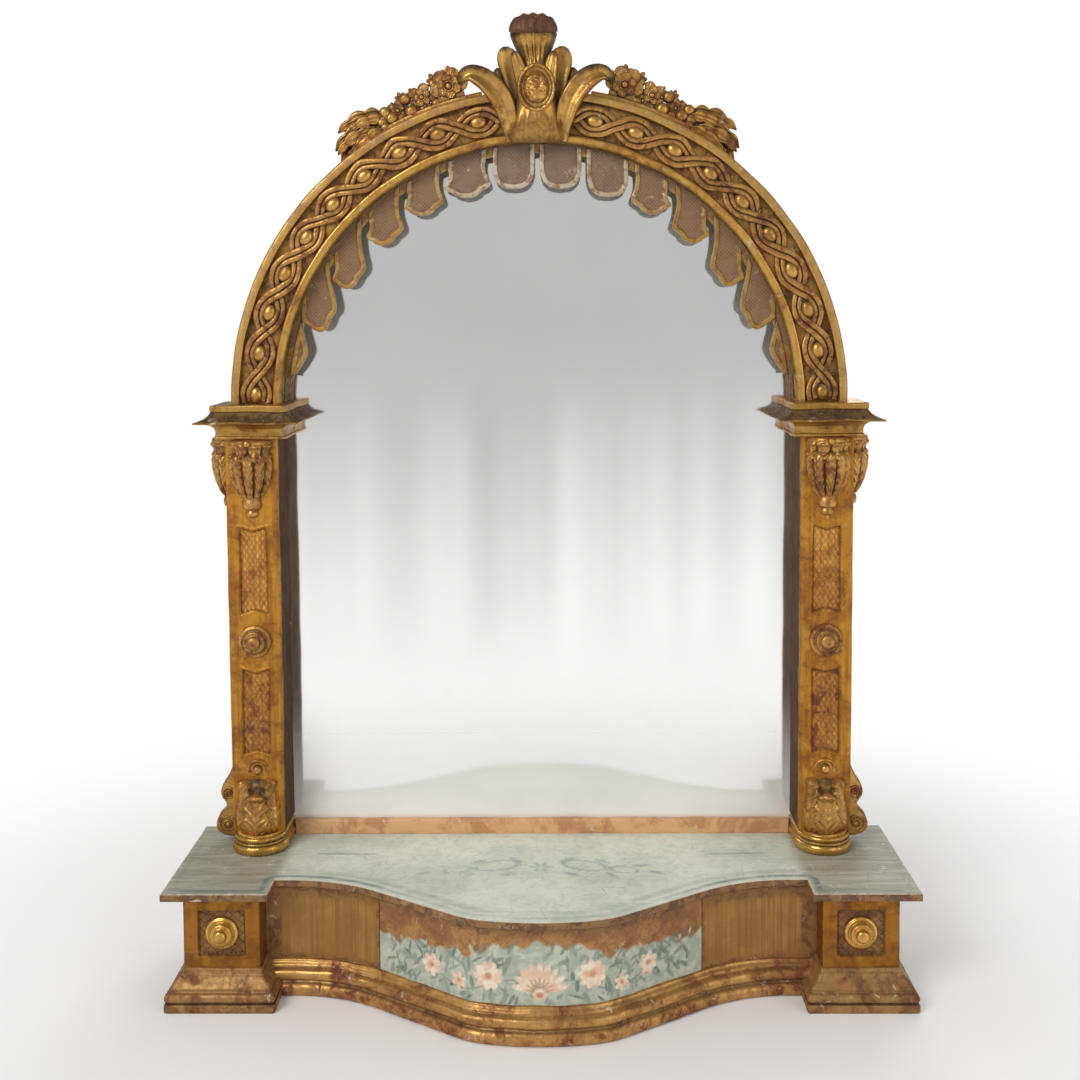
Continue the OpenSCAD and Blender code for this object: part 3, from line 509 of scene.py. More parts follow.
# %% Gilt finish
def gilding(
    name, leaf, shade, metal=0.88, rough=0.3, rub=0.5, glaze=0.8, chips=0.25, streaks=0.2, reach=0.008, seed=0.0,
    ground=None
):
    """Gold leaf over clay and gesso. The attributes soil, worn and bole add umber grime and painted shade, dull
    patches and bare clay. ground = (tones, pitch, slope) adds a hatched ground where the ground attribute is 1."""
    finish = Finish(name)
    mark, age, sky = finish.mark, finish.aged(seed), finish.use(WEAR, Reach=reach, Inward=0.0022)
    rubbed, mottle = age["Rubbed"], age["Mottle"]
    colour, height = blend(rubbed * 0.8, leaf, shade), age["Height"]
    if ground:
        tones, pitch, slope = ground
        cut = finish.hatched(pitch, slope) * mark("ground")
        colour = layers(colour, (mark("ground"), blend(rubbed, *tones)), (cut * 0.42, CLAY))
        height = height - cut * 1.3
    bare = mottle * (rubbed * 0.75 + 0.2)
    bare = (bare * rub + sky["Edge"] * ((mottle + 0.25) * rub)).clipped()
    bare = (bare + mark("bole") * (mottle * 0.55 + 0.3)).clipped()
    dull = mark("worn") * (mottle * 0.6 + 0.4)
    # Umber over the hollows is patina; the mesh attribute added to it is grime on some pieces and painted shade or
    # painted shadow lines on others.
    dirt_and_shade = (sky["Hollow"] * glaze + mark("soil") * (mottle * 0.35 + 0.65)).clipped()
    dirt_and_shade = (dirt_and_shade + age["Pits"] * 0.3).clipped()
    chip = (age["Loss"] * (sky["Edge"] * (chips * 4) + chips * 0.5)).clipped()
    colour = layers(
        colour, (age["Streaks"] * streaks, RUSSET), (bare, blend(rubbed, RUSSET, CLAY)), (dull, DULL_LEAF),
        (dirt_and_shade * 0.92, UMBER), (chip, GESSO)
    )
    matt = most(most(dirt_and_shade, bare), most(chip, dull))
    if ground:
        matt = most(matt, mark("ground") * 0.45)
    return finish.done(
        Base_Color=colour, Metallic=band(matt, 0.0, 1.0, metal, 0.0), Roughness=rubbed * 0.10 + matt * 0.32 + rough,
        Normal=bump(height - chip * 0.8, 0.45, 0.0014), Specular_IOR_Level=0.25
    )


BRIGHT_GILT = gilding("bright gilt", (0.72, 0.43, 0.105), (0.46, 0.235, 0.05), rough=0.23, glaze=1.0, reach=0.012)
CREST_GILT = gilding(
    "crest gilt", (0.56, 0.33, 0.09), (0.38, 0.195, 0.048), rough=0.27, rub=0.6, glaze=1.0, reach=0.016, seed=2.0
)
ARCH_GILT = gilding("arch gilt", (0.62, 0.36, 0.085), (0.42, 0.21, 0.045), rub=0.65, glaze=0.9, chips=0.8, seed=1.0)
CARVED_GILT = gilding(
    "carved gilt", (0.64, 0.36, 0.10), (0.40, 0.20, 0.055), rough=0.29, rub=0.85, glaze=1.0, chips=0.4, reach=0.012,
    seed=7.0
)
BOSS_GILT = gilding("boss gilt", (0.80, 0.47, 0.12), (0.54, 0.28, 0.065), rough=0.26, rub=0.4, glaze=0.55, seed=9.0)
DARK_GILT = gilding(
    "dark gilt", (0.43, 0.255, 0.095), (0.20, 0.11, 0.048), metal=0.6, rough=0.42, rub=0.95, glaze=1.0, chips=1.4,
    seed=11.0
)
CAPITAL_GILT = gilding(
    "capital gilt", (0.52, 0.30, 0.078), (0.34, 0.18, 0.045), rough=0.34, rub=0.65, chips=0.7, seed=12.0
)
RUBBED_GILT = gilding(
    "rubbed gilt", (0.64, 0.37, 0.125), (0.32, 0.15, 0.055), metal=0.8, rough=0.33, rub=1.0, glaze=0.95, chips=1.5,
    seed=17.0
)
CAP_GILT = gilding(
    "cap gilt", (0.115, 0.06, 0.038), (0.05, 0.028, 0.02), metal=0.3, rough=0.45, rub=0.8, glaze=1.0, chips=0.8,
    seed=13.0
)
PILASTER_GILT = gilding(
    "pilaster gilt", (0.58, 0.28, 0.04), (0.39, 0.16, 0.025), rough=0.4, rub=0.6, glaze=0.4, streaks=0.55, seed=3.0,
    ground=(((0.76, 0.40, 0.08), (0.60, 0.27, 0.055)), 0.0065, 0.62)
)
DIE_GILT = gilding(
    "die gilt", (0.40, 0.18, 0.029), (0.25, 0.095, 0.018), rough=0.42, rub=0.7, streaks=0.4, seed=4.0,
    ground=(((0.46, 0.25, 0.095), (0.32, 0.155, 0.06)), 0.0105, 1.0)
)
print("materials so far", len(bpy.data.materials))


# %% Pelmet finish: a gilt rim round a hatched ground
RIM_WIDTH = 5.6


def pelmet_finish():
    """The attribute rim gives the distance in mm from the free edge: gilt inside RIM_WIDTH and hatched
    beyond. The attribute pale turns both greyer, as on the lappets nearest the crest, and reverse is the
    chalky back."""
    finish = Finish("pelmet")
    mark, age, sky = finish.mark, finish.aged(21.0), finish.use(WEAR, Reach=0.006, Inward=0.0018)
    inner = band(mark("rim"), RIM_WIDTH - 0.7, RIM_WIDTH + 0.5)
    cut = finish.hatched(0.0046) * inner
    ground = layers(
        blend(mark("pale"), (0.25, 0.135, 0.07), (0.24, 0.165, 0.125)), (age["Mottle"] * 0.55, (0.16, 0.075, 0.040)),
        (cut * 0.55, (0.42, 0.27, 0.12))
    )
    rim = blend(mark("pale"), (0.42, 0.24, 0.055), (0.58, 0.50, 0.37))
    rim = blend(age["Mottle"] * 0.75, rim, (0.27, 0.105, 0.03))
    colour = layers(
        blend(inner, rim, ground), (mark("reverse"), (0.50, 0.48, 0.44)), (sky["Hollow"] * 0.9, UMBER),
        (age["Loss"] * 0.6, GESSO)
    )
    return finish.done(
        Base_Color=colour, Metallic=band(inner, 0.0, 1.0, 0.55, 0.25), Roughness=0.45,
        Normal=bump(age["Height"] * 0.5 - cut, 0.6, 0.0008)
    )


PELMET_GILT = pelmet_finish()
print("pelmet", PELMET_GILT.name)


# %% Painted finishes: shelf and frieze
def shelf_paint():
    """Old distemper. The attributes border and motif are drawn shapes, slab darkens the board over the
    pedestals, side is the moulded rim, and edge is the distance in mm from it, for chips to the gesso."""
    finish = Finish("shelf paint")
    mark, age, place = finish.mark, finish.aged(31.0), finish.place
    brush = scaled(place, 0.07, 1.0, 1.0)
    cloud = band(noise(place, 8.0, 6.0, 0.62), 0.36, 0.62)
    strokes = band(noise(brush, 150.0, 5.0, 0.7, 0.6), 0.36, 0.66)
    ragged = band(noise(brush, 90.0, 5.0, 0.75), 0.30, 0.55)
    veins = node("TexVoronoi", {"Vector": place, "Scale": 34.0}, feature="DISTANCE_TO_EDGE")["Distance"]
    crack = band(veins, 0.014, 0.0) * age["Rubbed"]
    rim = blend(age["Mottle"], (0.27, 0.135, 0.045), (0.13, 0.058, 0.025))
    jag = mark("edge") + noise(place, 110.0, 5.0, 0.7) * -11.0
    chipped = band(jag, -4.6, -6.0) * (1.0 - mark("side"))
    colour = layers(
        blend(cloud, (0.76, 0.79, 0.65), (0.57, 0.61, 0.49)), (mark("slab") * 0.85, (0.235, 0.22, 0.135)),
        (strokes * 0.30, (0.80, 0.79, 0.68)), (age["Mottle"] * 0.16, (0.22, 0.25, 0.20)),
        (mark("border") * ragged * 0.8, (0.13, 0.19, 0.175)), (mark("motif") * ragged * 0.65, (0.25, 0.34, 0.33)),
        (crack * 0.35, UMBER), (age["Loss"] * 0.6, (0.78, 0.74, 0.64)),
        (mark("side"), blend(age["Loss"] * 0.8, rim, GESSO)), (chipped, (0.66, 0.53, 0.40))
    )
    height = strokes * 0.5 - (chipped + crack)
    return finish.done(Base_Color=colour, Roughness=0.55, Normal=bump(height, 0.5, 0.0006))


def frieze_paint():
    """Distemper flowers on bole. The attributes blue, leaf, pale and bloom carry the drawing, heart the
    shading of the flowers, and top a rubbed gilt band under the shelf."""
    finish = Finish("frieze paint")
    mark, age, cut = finish.mark, finish.aged(37.0), finish.hatched(0.0048, 0.9)
    ragged = band(noise(finish.place, 150.0, 5.0, 0.75), 0.27, 0.42)
    colour = layers(
        blend(age["Rubbed"], (0.44, 0.215, 0.062), (0.29, 0.12, 0.036)), (cut * 0.22, (0.15, 0.062, 0.024)),
        (age["Mottle"] * 0.6, (0.20, 0.075, 0.026))
    )
    for k, (key, *tones) in enumerate((
        ("blue", (0.52, 0.54, 0.42), (0.38, 0.42, 0.33)), ("pale", (0.60, 0.64, 0.51), (0.44, 0.50, 0.40)),
        ("leaf", (0.10, 0.145, 0.115), (0.21, 0.27, 0.215)), ("bloom", (0.84, 0.74, 0.58), (0.76, 0.50, 0.35)),
        ("heart", (0.62, 0.30, 0.17), (0.50, 0.22, 0.12))
    )):
        patches = band(noise(finish.place, 70.0 + 9 * k, 4.0, 0.65), 0.38, 0.60)
        colour = blend(mark(key) * ragged, colour, blend(patches, *tones))
    top = blend(age["Mottle"], (0.34, 0.17, 0.045), (0.16, 0.07, 0.026))
    colour = layers(colour, (mark("top") * 0.85, top), (age["Loss"] * 0.5, GESSO))
    return finish.done(Base_Color=colour, Roughness=0.5, Normal=bump(age["Height"] - cut * 0.5, 0.4, 0.0007))


def grained_varnish():
    """Varnish grained by hand in upright streaks of two browns, inside a mottled gilt frame."""
    finish = Finish("grained varnish")
    framing, age, sky = finish.mark("frame"), finish.aged(39.0), finish.use(WEAR, Reach=0.010, Inward=0.002)
    streak = band(noise(scaled(finish.place, 1.0, 1.0, 0.02), 240.0, 5.0, 0.7), 0.34, 0.66)
    border = blend(age["Mottle"], (0.31, 0.15, 0.042), (0.19, 0.085, 0.028))
    colour = layers(
        blend(streak, (0.43, 0.215, 0.048), (0.29, 0.135, 0.032)), (age["Rubbed"] * 0.35, (0.20, 0.095, 0.025)),
        (framing, border), (sky["Hollow"] * 0.9, UMBER), (age["Loss"] * (framing * 0.7), GESSO)
    )
    height = streak * 0.3 + age["Mottle"] * framing
    return finish.done(Base_Color=colour, Metallic=0.35, Roughness=0.42, Normal=bump(height, 0.3, 0.0007))


SHELF_PAINT, FRIEZE_PAINT, FRIEZE_SIDE = shelf_paint(), frieze_paint(), grained_varnish()
print("painted", SHELF_PAINT.name, FRIEZE_PAINT.name, FRIEZE_SIDE.name)


# %% Clay, pine, glass and iron
def sill_clay():
    """Thinly gilt red clay on a moulded edge, with chips down to the gesso."""
    finish = Finish("sill clay")
    age, sky = finish.aged(43.0), finish.use(WEAR, Reach=0.006, Inward=0.002)
    lost = ((age["Loss"] + sky["Edge"] * age["Rubbed"]) * 0.9).clipped()
    colour = layers(
        blend(age["Rubbed"], (0.74, 0.43, 0.21), (0.54, 0.26, 0.115)), (sky["Hollow"] * 0.85, UMBER), (lost, GESSO)
    )
    return finish.done(Base_Color=colour, Metallic=0.15, Roughness=0.5, Normal=bump(age["Height"], 0.5, 0.0012))


def pine(name, light, dark, seed, turned=(0.0, 0.0, 0.0)):
    """Pine whose grain runs along z, or along another axis once it is turned."""
    finish = Finish(name)
    axis = node("Mapping", {"Vector": finish.place, "Rotation": turned})[0]
    grain, sky = finish.use(GRAIN, Vector=axis, Seed=seed), finish.use(WEAR, Reach=0.008, Inward=0.002)
    colour = layers(
        blend(grain["Tone"], light, dark), (grain["Stain"] * 0.6, (0.12, 0.07, 0.035)), (sky["Hollow"] * 0.7, UMBER)
    )
    return finish.done(Base_Color=colour, Roughness=0.72, Normal=bump(grain["Height"], 0.4, 0.0008))


def old_mirror():
    """Tin and mercury silvering: a soft reflection, a few foxed specks, and low down a pale matt veil of painted
    reflection.
    """
    finish = Finish("old mirror")
    specks = band(noise(finish.place, 26.0, 6.0, 0.75), 0.745, 0.765)
    haze = band(noise(finish.place, 5.0, 3.0), 0.3, 0.7)
    # Painted reflection: towards the bottom the glass loses its mirror and turns pale and matt, standing in for
    # bright glass.
    painted_reflection = band(node("SeparateXYZ", {0: finish.place})[2], 0.34, 0.16, 0.0, 0.72)
    colour = layers(blend(haze, (0.95, 0.95, 0.945), (0.925, 0.925, 0.92)), (specks, (0.05, 0.05, 0.05)))
    return finish.done(Base_Color=colour, Metallic=band(specks, 0.0, 1.0, 1.0, 0.2) - painted_reflection, Roughness=0.075)


def iron():
    """Hammered iron with rust."""
    finish = Finish("iron brads")
    rust = band(noise(finish.place, 300.0, 3.0), 0.4, 0.6)
    colour = blend(rust, (0.09, 0.085, 0.08), (0.17, 0.075, 0.035))
    return finish.done(Base_Color=colour, Metallic=0.7, Roughness=0.6)


SILL_CLAY, SILVERING, IRON = sill_clay(), old_mirror(), iron()
PINE_UP = pine("pine boards", (0.36, 0.22, 0.105), (0.24, 0.135, 0.06), 1.0)
PINE_ALONG = pine("pine rails", (0.34, 0.21, 0.10), (0.22, 0.13, 0.06), 4.0, (0, math.pi / 2, 0))
print("materials", len(bpy.data.materials))


# %% [markdown]
# ## Stage
# A pale floor that fades into a white room, one broad lamp from the front left, a weaker one from the
# right and one behind. Metal and glass see a room that is grey from the horizon up and white further
# down, and that, with a painted reflection low on the glass, makes the grey-to-white shading of the glass.


# %% Room and lamps
ROOM_LIGHT, HORIZON, DARK_TOP = 0.5, 0.53, 0.28
AIM = (0.0, 0.0, 0.55)


def make_room():
    """World colour: white for the camera and ROOM_LIGHT grey for light. Reflections see a value that falls
    from HORIZON to DARK_TOP at 25 degrees up and rises to 1 at 18 degrees below, with soft upright folds
    in between."""
    world = bpy.data.worlds.new("room")
    world.use_nodes = True
    tree = world.node_tree
    axes = node("SeparateXYZ", {0: node("TexCoord", {}, tree)["Generated"]})
    zone = band(axes[2], -0.03, -0.12) * band(axes[2], -0.27, -0.20)
    folds = band(noise(axes[0] / axes[1], 30.0, 3.0), 0.38, 0.64, -0.14, 0.22) * zone
    seen = band(axes[2], 0.0, -0.31, HORIZON, 1.0) + band(axes[2], 0.12, 0.42, 0.0, DARK_TOP - HORIZON) + folds
    ray = node("LightPath", {}, tree)
    shiny = most(ray["Is Glossy Ray"], ray["Is Transmission Ray"])
    level = shiny * seen + (1.0 - shiny) * ROOM_LIGHT
    sky = tree.nodes["Background"]
    feed(sky.inputs["Strength"], most(level, ray["Is Camera Ray"]))
    feed(sky.inputs["Color"], (1.0, 1.0, 1.0))
    bpy.context.scene.world = world


def lamp(name, place, power, size):
    """A square area lamp that faces the middle of the mirror."""
    data = bpy.data.lights.new(name, "AREA")
    data.energy, data.size = power, size
    made = link(name, data)
    made.location = place
    aim = np.array(AIM) - np.array(place)
    made.rotation_euler = (math.atan2(math.hypot(aim[0], aim[1]), -aim[2]), 0, math.atan2(-aim[0], aim[1]))


make_room()
lamp("key", (-1.9, -2.6, 2.5), 69.0, 1.8)
lamp("fill", (2.4, -2.2, 1.3), 16.0, 2.2)
lamp("behind", (0.9, 2.8, 2.0), 30.0, 2.0)


# %% Floor
def make_floor():
    """A pale floor that turns clear between 0.5 and 1.2 m from the mirror."""
    finish = Finish("floor")
    far = node("VectorMath", {0: finish.place}, operation="LENGTH")["Value"]
    clear = node("BsdfTransparent", {}, finish.tree)[0]
    made = finish.done(Base_Color=(0.96, 0.96, 0.96), Roughness=0.9, Specular_IOR_Level=0.1)
    skin = Wire(finish.tree.nodes["Principled BSDF"].outputs[0])
    mixed = node("MixShader", {0: band(far, 0.5, 1.2), 1: skin, 2: clear})[0]
    feed(finish.tree.nodes["Material Output"].inputs["Surface"], mixed)
    mesh = bpy.data.meshes.new("floor")
    mesh.from_pydata([(-6, -6, 0), (6, -6, 0), (6, 6, 0), (-6, 6, 0)], [], [(0, 1, 2, 3)])
    mesh.materials.append(made)
    floor = link("floor", mesh)


make_floor()
bpy.context.scene.view_settings.view_transform = "Standard"
print("lamps", len(bpy.data.lights))


# %% [markdown]
# ## Plinth: pedestals
# Each pedestal is a box between a stack of mouldings. On the real piece the mouldings are planed lengths
# mitred round the box and then gessoed, so their arrises are soft and a little uneven. One function
# carries any profile round three sides of a block and can sink a panel into its front.


# %% Blocks with moulded sides
BACK, SHELF_LOW, SHELF_TOP = 138.0, 131.0, 140.0
MOULDING_BACK = BACK - 0.2
SIDE_FROM, FACE_TO = 6.0, 12.0
print("moulded sides begin", SIDE_FROM, "mm behind the front")


def faced_block(x0, x1, front, levels, radius, cols, relief=None, back=BACK, rebate=None, **marks):
    """Grid round a block for each [projection e, height z] in levels: back left, left side, rounded
    corner, front, corner, right side. radius "full" makes the whole front half-round. relief(x, z)
    gives how far a front point is sunk, in mm. rebate = (x, y) cuts the back left corner away."""
    e, z = np.asarray(levels, float).T[:, :, None]
    half_round = radius == "full"
    r = (x1 - x0) / 2 + e if half_round else np.full_like(e, radius)
    turn = np.radians(np.linspace(0, 90, 24 if half_round else 5))[None, :]
    left = join(x0 - e + r - r * np.cos(turn), front - e + r - r * np.sin(turn))
    right = np.stack([x0 + x1 - left[..., 0], left[..., 1]], -1)[:, ::-1]
    t = np.linspace(0, 1, cols + 2)[None, 1:-1]
    mid = join(left[:, -1:, 0] * (1 - t) + right[:, :1, 0] * t, front - e)
    if relief:
        mid[..., 1] += relief(mid[..., 0], z)
    sides = [np.linspace(y, left[:, 0, 1], 7)[:-1].T for y in (rebate[1] if rebate else back, back)]
    plan = np.concatenate([join(x0 - e, sides[0]), left, mid, right, join(x1 + e, sides[1][:, ::-1])], axis=1)
    if rebate:
        notch = np.array([[rebate[0], back], rebate])
        plan = np.concatenate([np.broadcast_to(notch, (len(plan), 2, 2)), plan], axis=1)
    return bar(join(plan[..., 0], plan[..., 1], z), **marks)


def both(name, make, material, smooth=38):
    """The right-hand piece and its mirror image on the left."""
    for word, side in (("left", -1), ("right", 1)):
        put(f"{word}_{name}", make(), material, smooth, side)


# %% Pedestals
DIE = (322.0, 410.0)
DIE_FRONT = -45.0
DIE_MID = (366.0, 85.0)
base_levels = fill(soft(profile(
    [[18.5, 0], [19.6, 1.2], [19.6, 9.5]], torus(15, 4.2, 10.5, 21.5), [[13.6, 22.4], [13.8, 26]],
    [[11.2, 29.5], [8, 33], [5.5, 36.5], [4.4, 40], [2.6, 41], [2.4, 45], [0, 45.4]]
), 1.2, 3), 2.0)
bed_levels = soft([[0, 124.4], [2.6, 124.8], [4.2, 127.4], [7, 129], [10.4, 129.8], [10.8, SHELF_LOW]], 0.8, 3)


def pedestal_base():
    """The base moulding: a square step, a torus, a fillet and a hollow up to the die."""
    return hand_cut(faced_block(*DIE, DIE_FRONT, base_levels, 2.6, 36, back=MOULDING_BACK, bole=0.22), 0.45)


def panel_off(x, z):
    """Half the side of the square through x, z that lies round the middle of a die's panel."""
    return np.maximum(np.abs(x - DIE_MID[0]), np.abs(z - DIE_MID[1]))


def square_panel(x, z):
    """1 inside the sunk square of a die, with a bevel 2.4 mm wide."""
    return ease(panel_off(x, z), 27.2, 24.8)


def pedestal_die():
    """The die with its sunk square panel, made darker on its sides, the inner one most, in the panel and along its
    edge.
    """
    levels = fill([[0, 44.6], [0, SHELF_LOW]], 1.0)
    grid = faced_block(*DIE, DIE_FRONT, levels, 1.6, 84, lambda x, z: 4.0 * square_panel(x, z))
    x, y, z = np.moveaxis(grid["points"], -1, 0)
    panel, facing = square_panel(x, z), y < DIE_FRONT + SIDE_FROM
    # Darker sides, the inner one most, a darker sunk panel and a darker line along the panel's edge.
    sides = (y > DIE_FRONT + SIDE_FROM) * np.where(x < DIE_MID[0], 0.6, 0.3) + 0.42 * panel * facing
    edge = 0.5 * hump(panel_off(x, z) - 26, 1.6) * facing
    grid["marks"].update(ground=panel * (y < y.min() + FACE_TO), soil=np.maximum(sides, edge))
    return hand_cut(grid, 0.3)


def pedestal_bed():
    """The small hollow moulding under the slab."""
    return hand_cut(faced_block(*DIE, DIE_FRONT, bed_levels, 2.0, 30, back=MOULDING_BACK), 0.3)


both("pedestal_base", pedestal_base, DARK_GILT)
both("pedestal_die", pedestal_die, DIE_GILT)
both("bed_moulding", pedestal_bed, DARK_GILT)

# %% [markdown]
# ## Turned bosses
# Small rosettes turned on a lathe and glued on: an outer torus, a groove, a raised ring and a button.


# %% Turned forms
def turned(centre, levels):
    """A profile of [radius, height] turned about an axis that points to the front."""
    r, h = np.asarray(levels, float).T[:, :, None]
    a = circle(72)[None, :]
    return sheet(join(r * np.cos(a), -h, r * np.sin(a)) + centre, closed=True)


def boss_levels(radius, height):
    """Profile of a boss, from its back to the middle of its button, as fractions of its size."""
    shape = profile(
        [[0, 0], [0.9, 0]], torus(0.86, 0.14, 0.02, 0.26, 7), [[0.84, 0.30], [0.74, 0.24], [0.68, 0.26]],
        [[0.67, 0.40]], torus(0.56, 0.1, 0.40, 0.58, 7), [[0.46, 0.54], [0.40, 0.60], [0.41, 0.78]],
        [[0.33, 0.92], [0.17, 0.985], [0, 1]]
    )
    return soft(shape * (radius, height), 0.05 * radius, 2)


def pedestal_boss():
    """The larger boss, seated in the sunk panel."""
    return [turned((DIE_MID[0], DIE_FRONT + 4, DIE_MID[1]), boss_levels(19, 17.6))]


both("pedestal_boss", pedestal_boss, BOSS_GILT)

# %% [markdown]
# ## Plinth: serpentine front
# Between the pedestals the front swells into a bow. The boards would be sawn to the curve from thick
# stock, and the mouldings worked along them. The curve is two convex arcs, a straight flank, a hollow
# arc and a short flat, and everything here is a profile carried along it.


# %% The front curve
BOW = dict(
    radius=300.0, angle=11.5, shoulder=100.0, flank=33.0, half=290.0, out=70.0, back=40.0, front=-65.0, end=322.0
)


def front_line():
    """1200 even rows [x, y, slope in degrees] along the shelf's edge, from left to right."""
    b, f, big, small = BOW["angle"], BOW["flank"], BOW["radius"], BOW["shoulder"]
    a1, a2, a3 = np.linspace(0, b, 60), np.linspace(b, f, 60), np.linspace(f, 0, 200)
    x1, y1 = big * sine(a1), -BOW["out"] + big * (1 - cosine(a1))
    x2, y2 = x1[-1] + small * (sine(a2) - sine(b)), y1[-1] + small * (cosine(b) - cosine(a2))
    rest_x, rest_y = BOW["half"] - x2[-1], BOW["back"] - y2[-1]
    hollow = (sine(f) * rest_x - cosine(f) * rest_y) / (1 - cosine(f))
    x3, y3 = BOW["half"] - hollow * sine(a3), BOW["back"] - hollow * (1 - cosine(a3))
    half = np.stack([
        np.concatenate([x1, x2[1:], x3, [BOW["end"]]]), np.concatenate([y1, y2[1:], y3, [BOW["back"]]]),
        np.concatenate([a1, a2[1:], a3, [0]])
    ], 1)
    line = np.concatenate([half[:0:-1] * (-1, 1, -1), half])
    run = np.concatenate([[0], np.cumsum(np.linalg.norm(np.diff(line[:, :2], axis=0), axis=1))])
    even = np.linspace(0, run[-1], 1200)
    line = np.stack([np.interp(even, run, line[:, k]) for k in range(3)], 1)
    line[:, 1] += BOW["front"]
    return line


LINE = front_line()
print("front curve", len(LINE), "points")


def along_front(levels, x_from=-BOW["end"], x_to=BOW["end"], at=0.0, every=3):
    """The profile [projection e, z] carried along the front: x + e sin a, y - e cos a. The ends lie where
    the parallel at e = at reaches x_from and x_to, and every = 3 keeps one place in three."""
    a = np.radians(LINE[:, 2])
    place = np.interp([x_from, x_to], LINE[:, 0] + at * np.sin(a), np.arange(len(LINE)))
    pick = np.linspace(*place, int((place[1] - place[0]) / every) + 1)
    x, y, a = (np.interp(pick, np.arange(len(LINE)), column)[:, None] for column in (LINE[:, 0], LINE[:, 1], a))
    e, z = np.asarray(levels, float).T[:, None, :]
    return join(x + e * np.sin(a), y - e * np.cos(a), z)


# %% Mouldings along the front
foot_levels = fill(soft(profile(
    [[-13, 0], [-3.6, 0]], torus(-3.4, 6.2, 0.3, 16, 13), torus(-5, 5, 18, 31, 13),
    [[-7.4, 32], [-7.4, 34], [-10.6, 37], [-11.4, 39.6], [-13.9, 40]]
), 0.8, 2), 2.5)
foot = bar(along_front(foot_levels, every=2), bole=0.4 * ease(foot_levels[:, 1], 19, 15) + 0.05)
put("serpentine_base_moulding", hand_cut(foot, 0.5), RUBBED_GILT)

lip_levels = soft([
    [-14.2, 131], [-14.2, 124.6], [-12, 124.8], [-10.6, 127], [-8, 129], [-5.2, 129.8], [-5, 131]
], 0.7, 2)
put("serpentine_bed_moulding", hand_cut(bar(along_front(lip_levels)), 0.3), DARK_GILT)

BOARD_FRONT = -14.0


def board_levels(step):
    """Section of a frieze board 14 mm thick, its front in steps no longer than step."""
    return profile([[-28, SHELF_LOW], [-28, 0]], fill([[BOARD_FRONT, 0], [BOARD_FRONT, SHELF_LOW]], step))


for word, ends in (("left", (-322, -185.4)), ("right", (185.4, 322))):
    board = along_front(board_levels(4.0), *ends, at=BOARD_FRONT)
    x, z = np.abs(board[..., 0]), board[..., 2]
    framing = np.maximum.reduce([ease(x, 302, 305), ease(x, 190, 187), ease(z, 113, 116), ease(z, 48, 45)])
    put(f"frieze_{word}", [bar(board, frame=framing)], FRIEZE_SIDE)

# %% [markdown]
# ## Painted board
# The middle of the frieze carries flowers in distemper. The drawing here is a plain one of its own: a
# shell-shaped palmette between sprays of leaves on a pale scalloped ground. It is worked out in mm over
# the board, u along it and v up it, and kept as attributes of the mesh.


# %% Painted middle board
def oval(u, v, middle, radii, angle=0.0):
    """Signed distance-like value of an oval: 1 in its middle, 0 at its edge."""
    along, across = rotate(u - middle[0], v - middle[1], -angle)
    return 1 - np.hypot(along / radii[0], across / radii[1])


def mask(value, width=0.12):
    """0 where value < 0, rising to 1 at width."""
    return ease(value, 0, width)


def frieze_drawing(u, v):
    """Masks of the painting, each 0 to 1. u runs from the middle, v up from the torus. Leaves are ovals at
    seeded random places on both sides, and every flower is a ring of ovals."""
    a, random = np.abs(u), np.random.default_rng(8)
    marks = {key: np.zeros_like(u) for key in ("blue", "pale", "leaf", "bloom", "heart")}

    def dab(key, value, width=0.3, strength=1.0):
        """Lays a shape over one of the masks, where it is the stronger."""
        marks[key] = np.maximum(marks[key], strength * mask(value, width))

    top = 70 - 18 * ease(a, 20, 100) - 5 * ease(a, 130, 180) + 3 * np.cos(u / 8.2) + 2.5 * np.cos(u / 3.7 + 1)
    dab("blue", (top - v) / 10, 0.45)
    for side in (-1, 1):
        for k in range(170):
            x = 4 + 186 * random.random()
            y = random.uniform(2, 68 - 18 * min(x / 100, 1) ** 2)
            way, long, wide = random.uniform(15, 165), random.uniform(5, 12), random.uniform(1.4, 3.4)
            value = oval(u, v, (side * x, y), (long, wide), way)
            dab(("leaf", "pale", "leaf", "pale", "leaf")[k % 5], value, 0.35, random.uniform(0.4, 0.95))
    stem = 1 - np.abs(v - 20 - 8 * np.sin(a / 19.0)) / 1.2
    dab("leaf", stem * ease(a, 172, 164), 0.5, 0.7)
    for x, y, size, count in (
        (58, 33, 16, 9), (-57, 31, 16, 9), (94, 17, 10, 6), (-93, 19, 10, 6), (130, 29, 13, 7), (-131, 27, 13, 7)
    ):
        for k in range(count):
            way = 360 * k / count + x
            place = np.add((x, y), rotate(size * 0.58, 0, way))
            dab("bloom", oval(u, v, place, (size * 0.52, size * 0.34), way))
        dab("heart", oval(u, v, (x, y), (size * 0.42, size * 0.42)), 0.8, 0.9)
    for degrees in range(10, 190, 20):
        c, s = rotate(1, 0, degrees)
        dab("bloom", oval(u, v, (20 * c, 16 + 21 * s), (13, 4.4), degrees))
        dab("heart", oval(u, v, (11 * c, 15 + 11 * s), (8, 1.7), degrees), 0.6, 0.8)
    dab("bloom", oval(u, v, (0, 13), (9, 7)), 0.2)
    dab("heart", oval(u, v, (0, 12), (5, 4)), 0.5)
    marks["leaf"] *= 1 - marks["bloom"]
    marks["pale"] *= 1 - marks["leaf"]
    return dict(marks, top=ease(v, 77, 81))


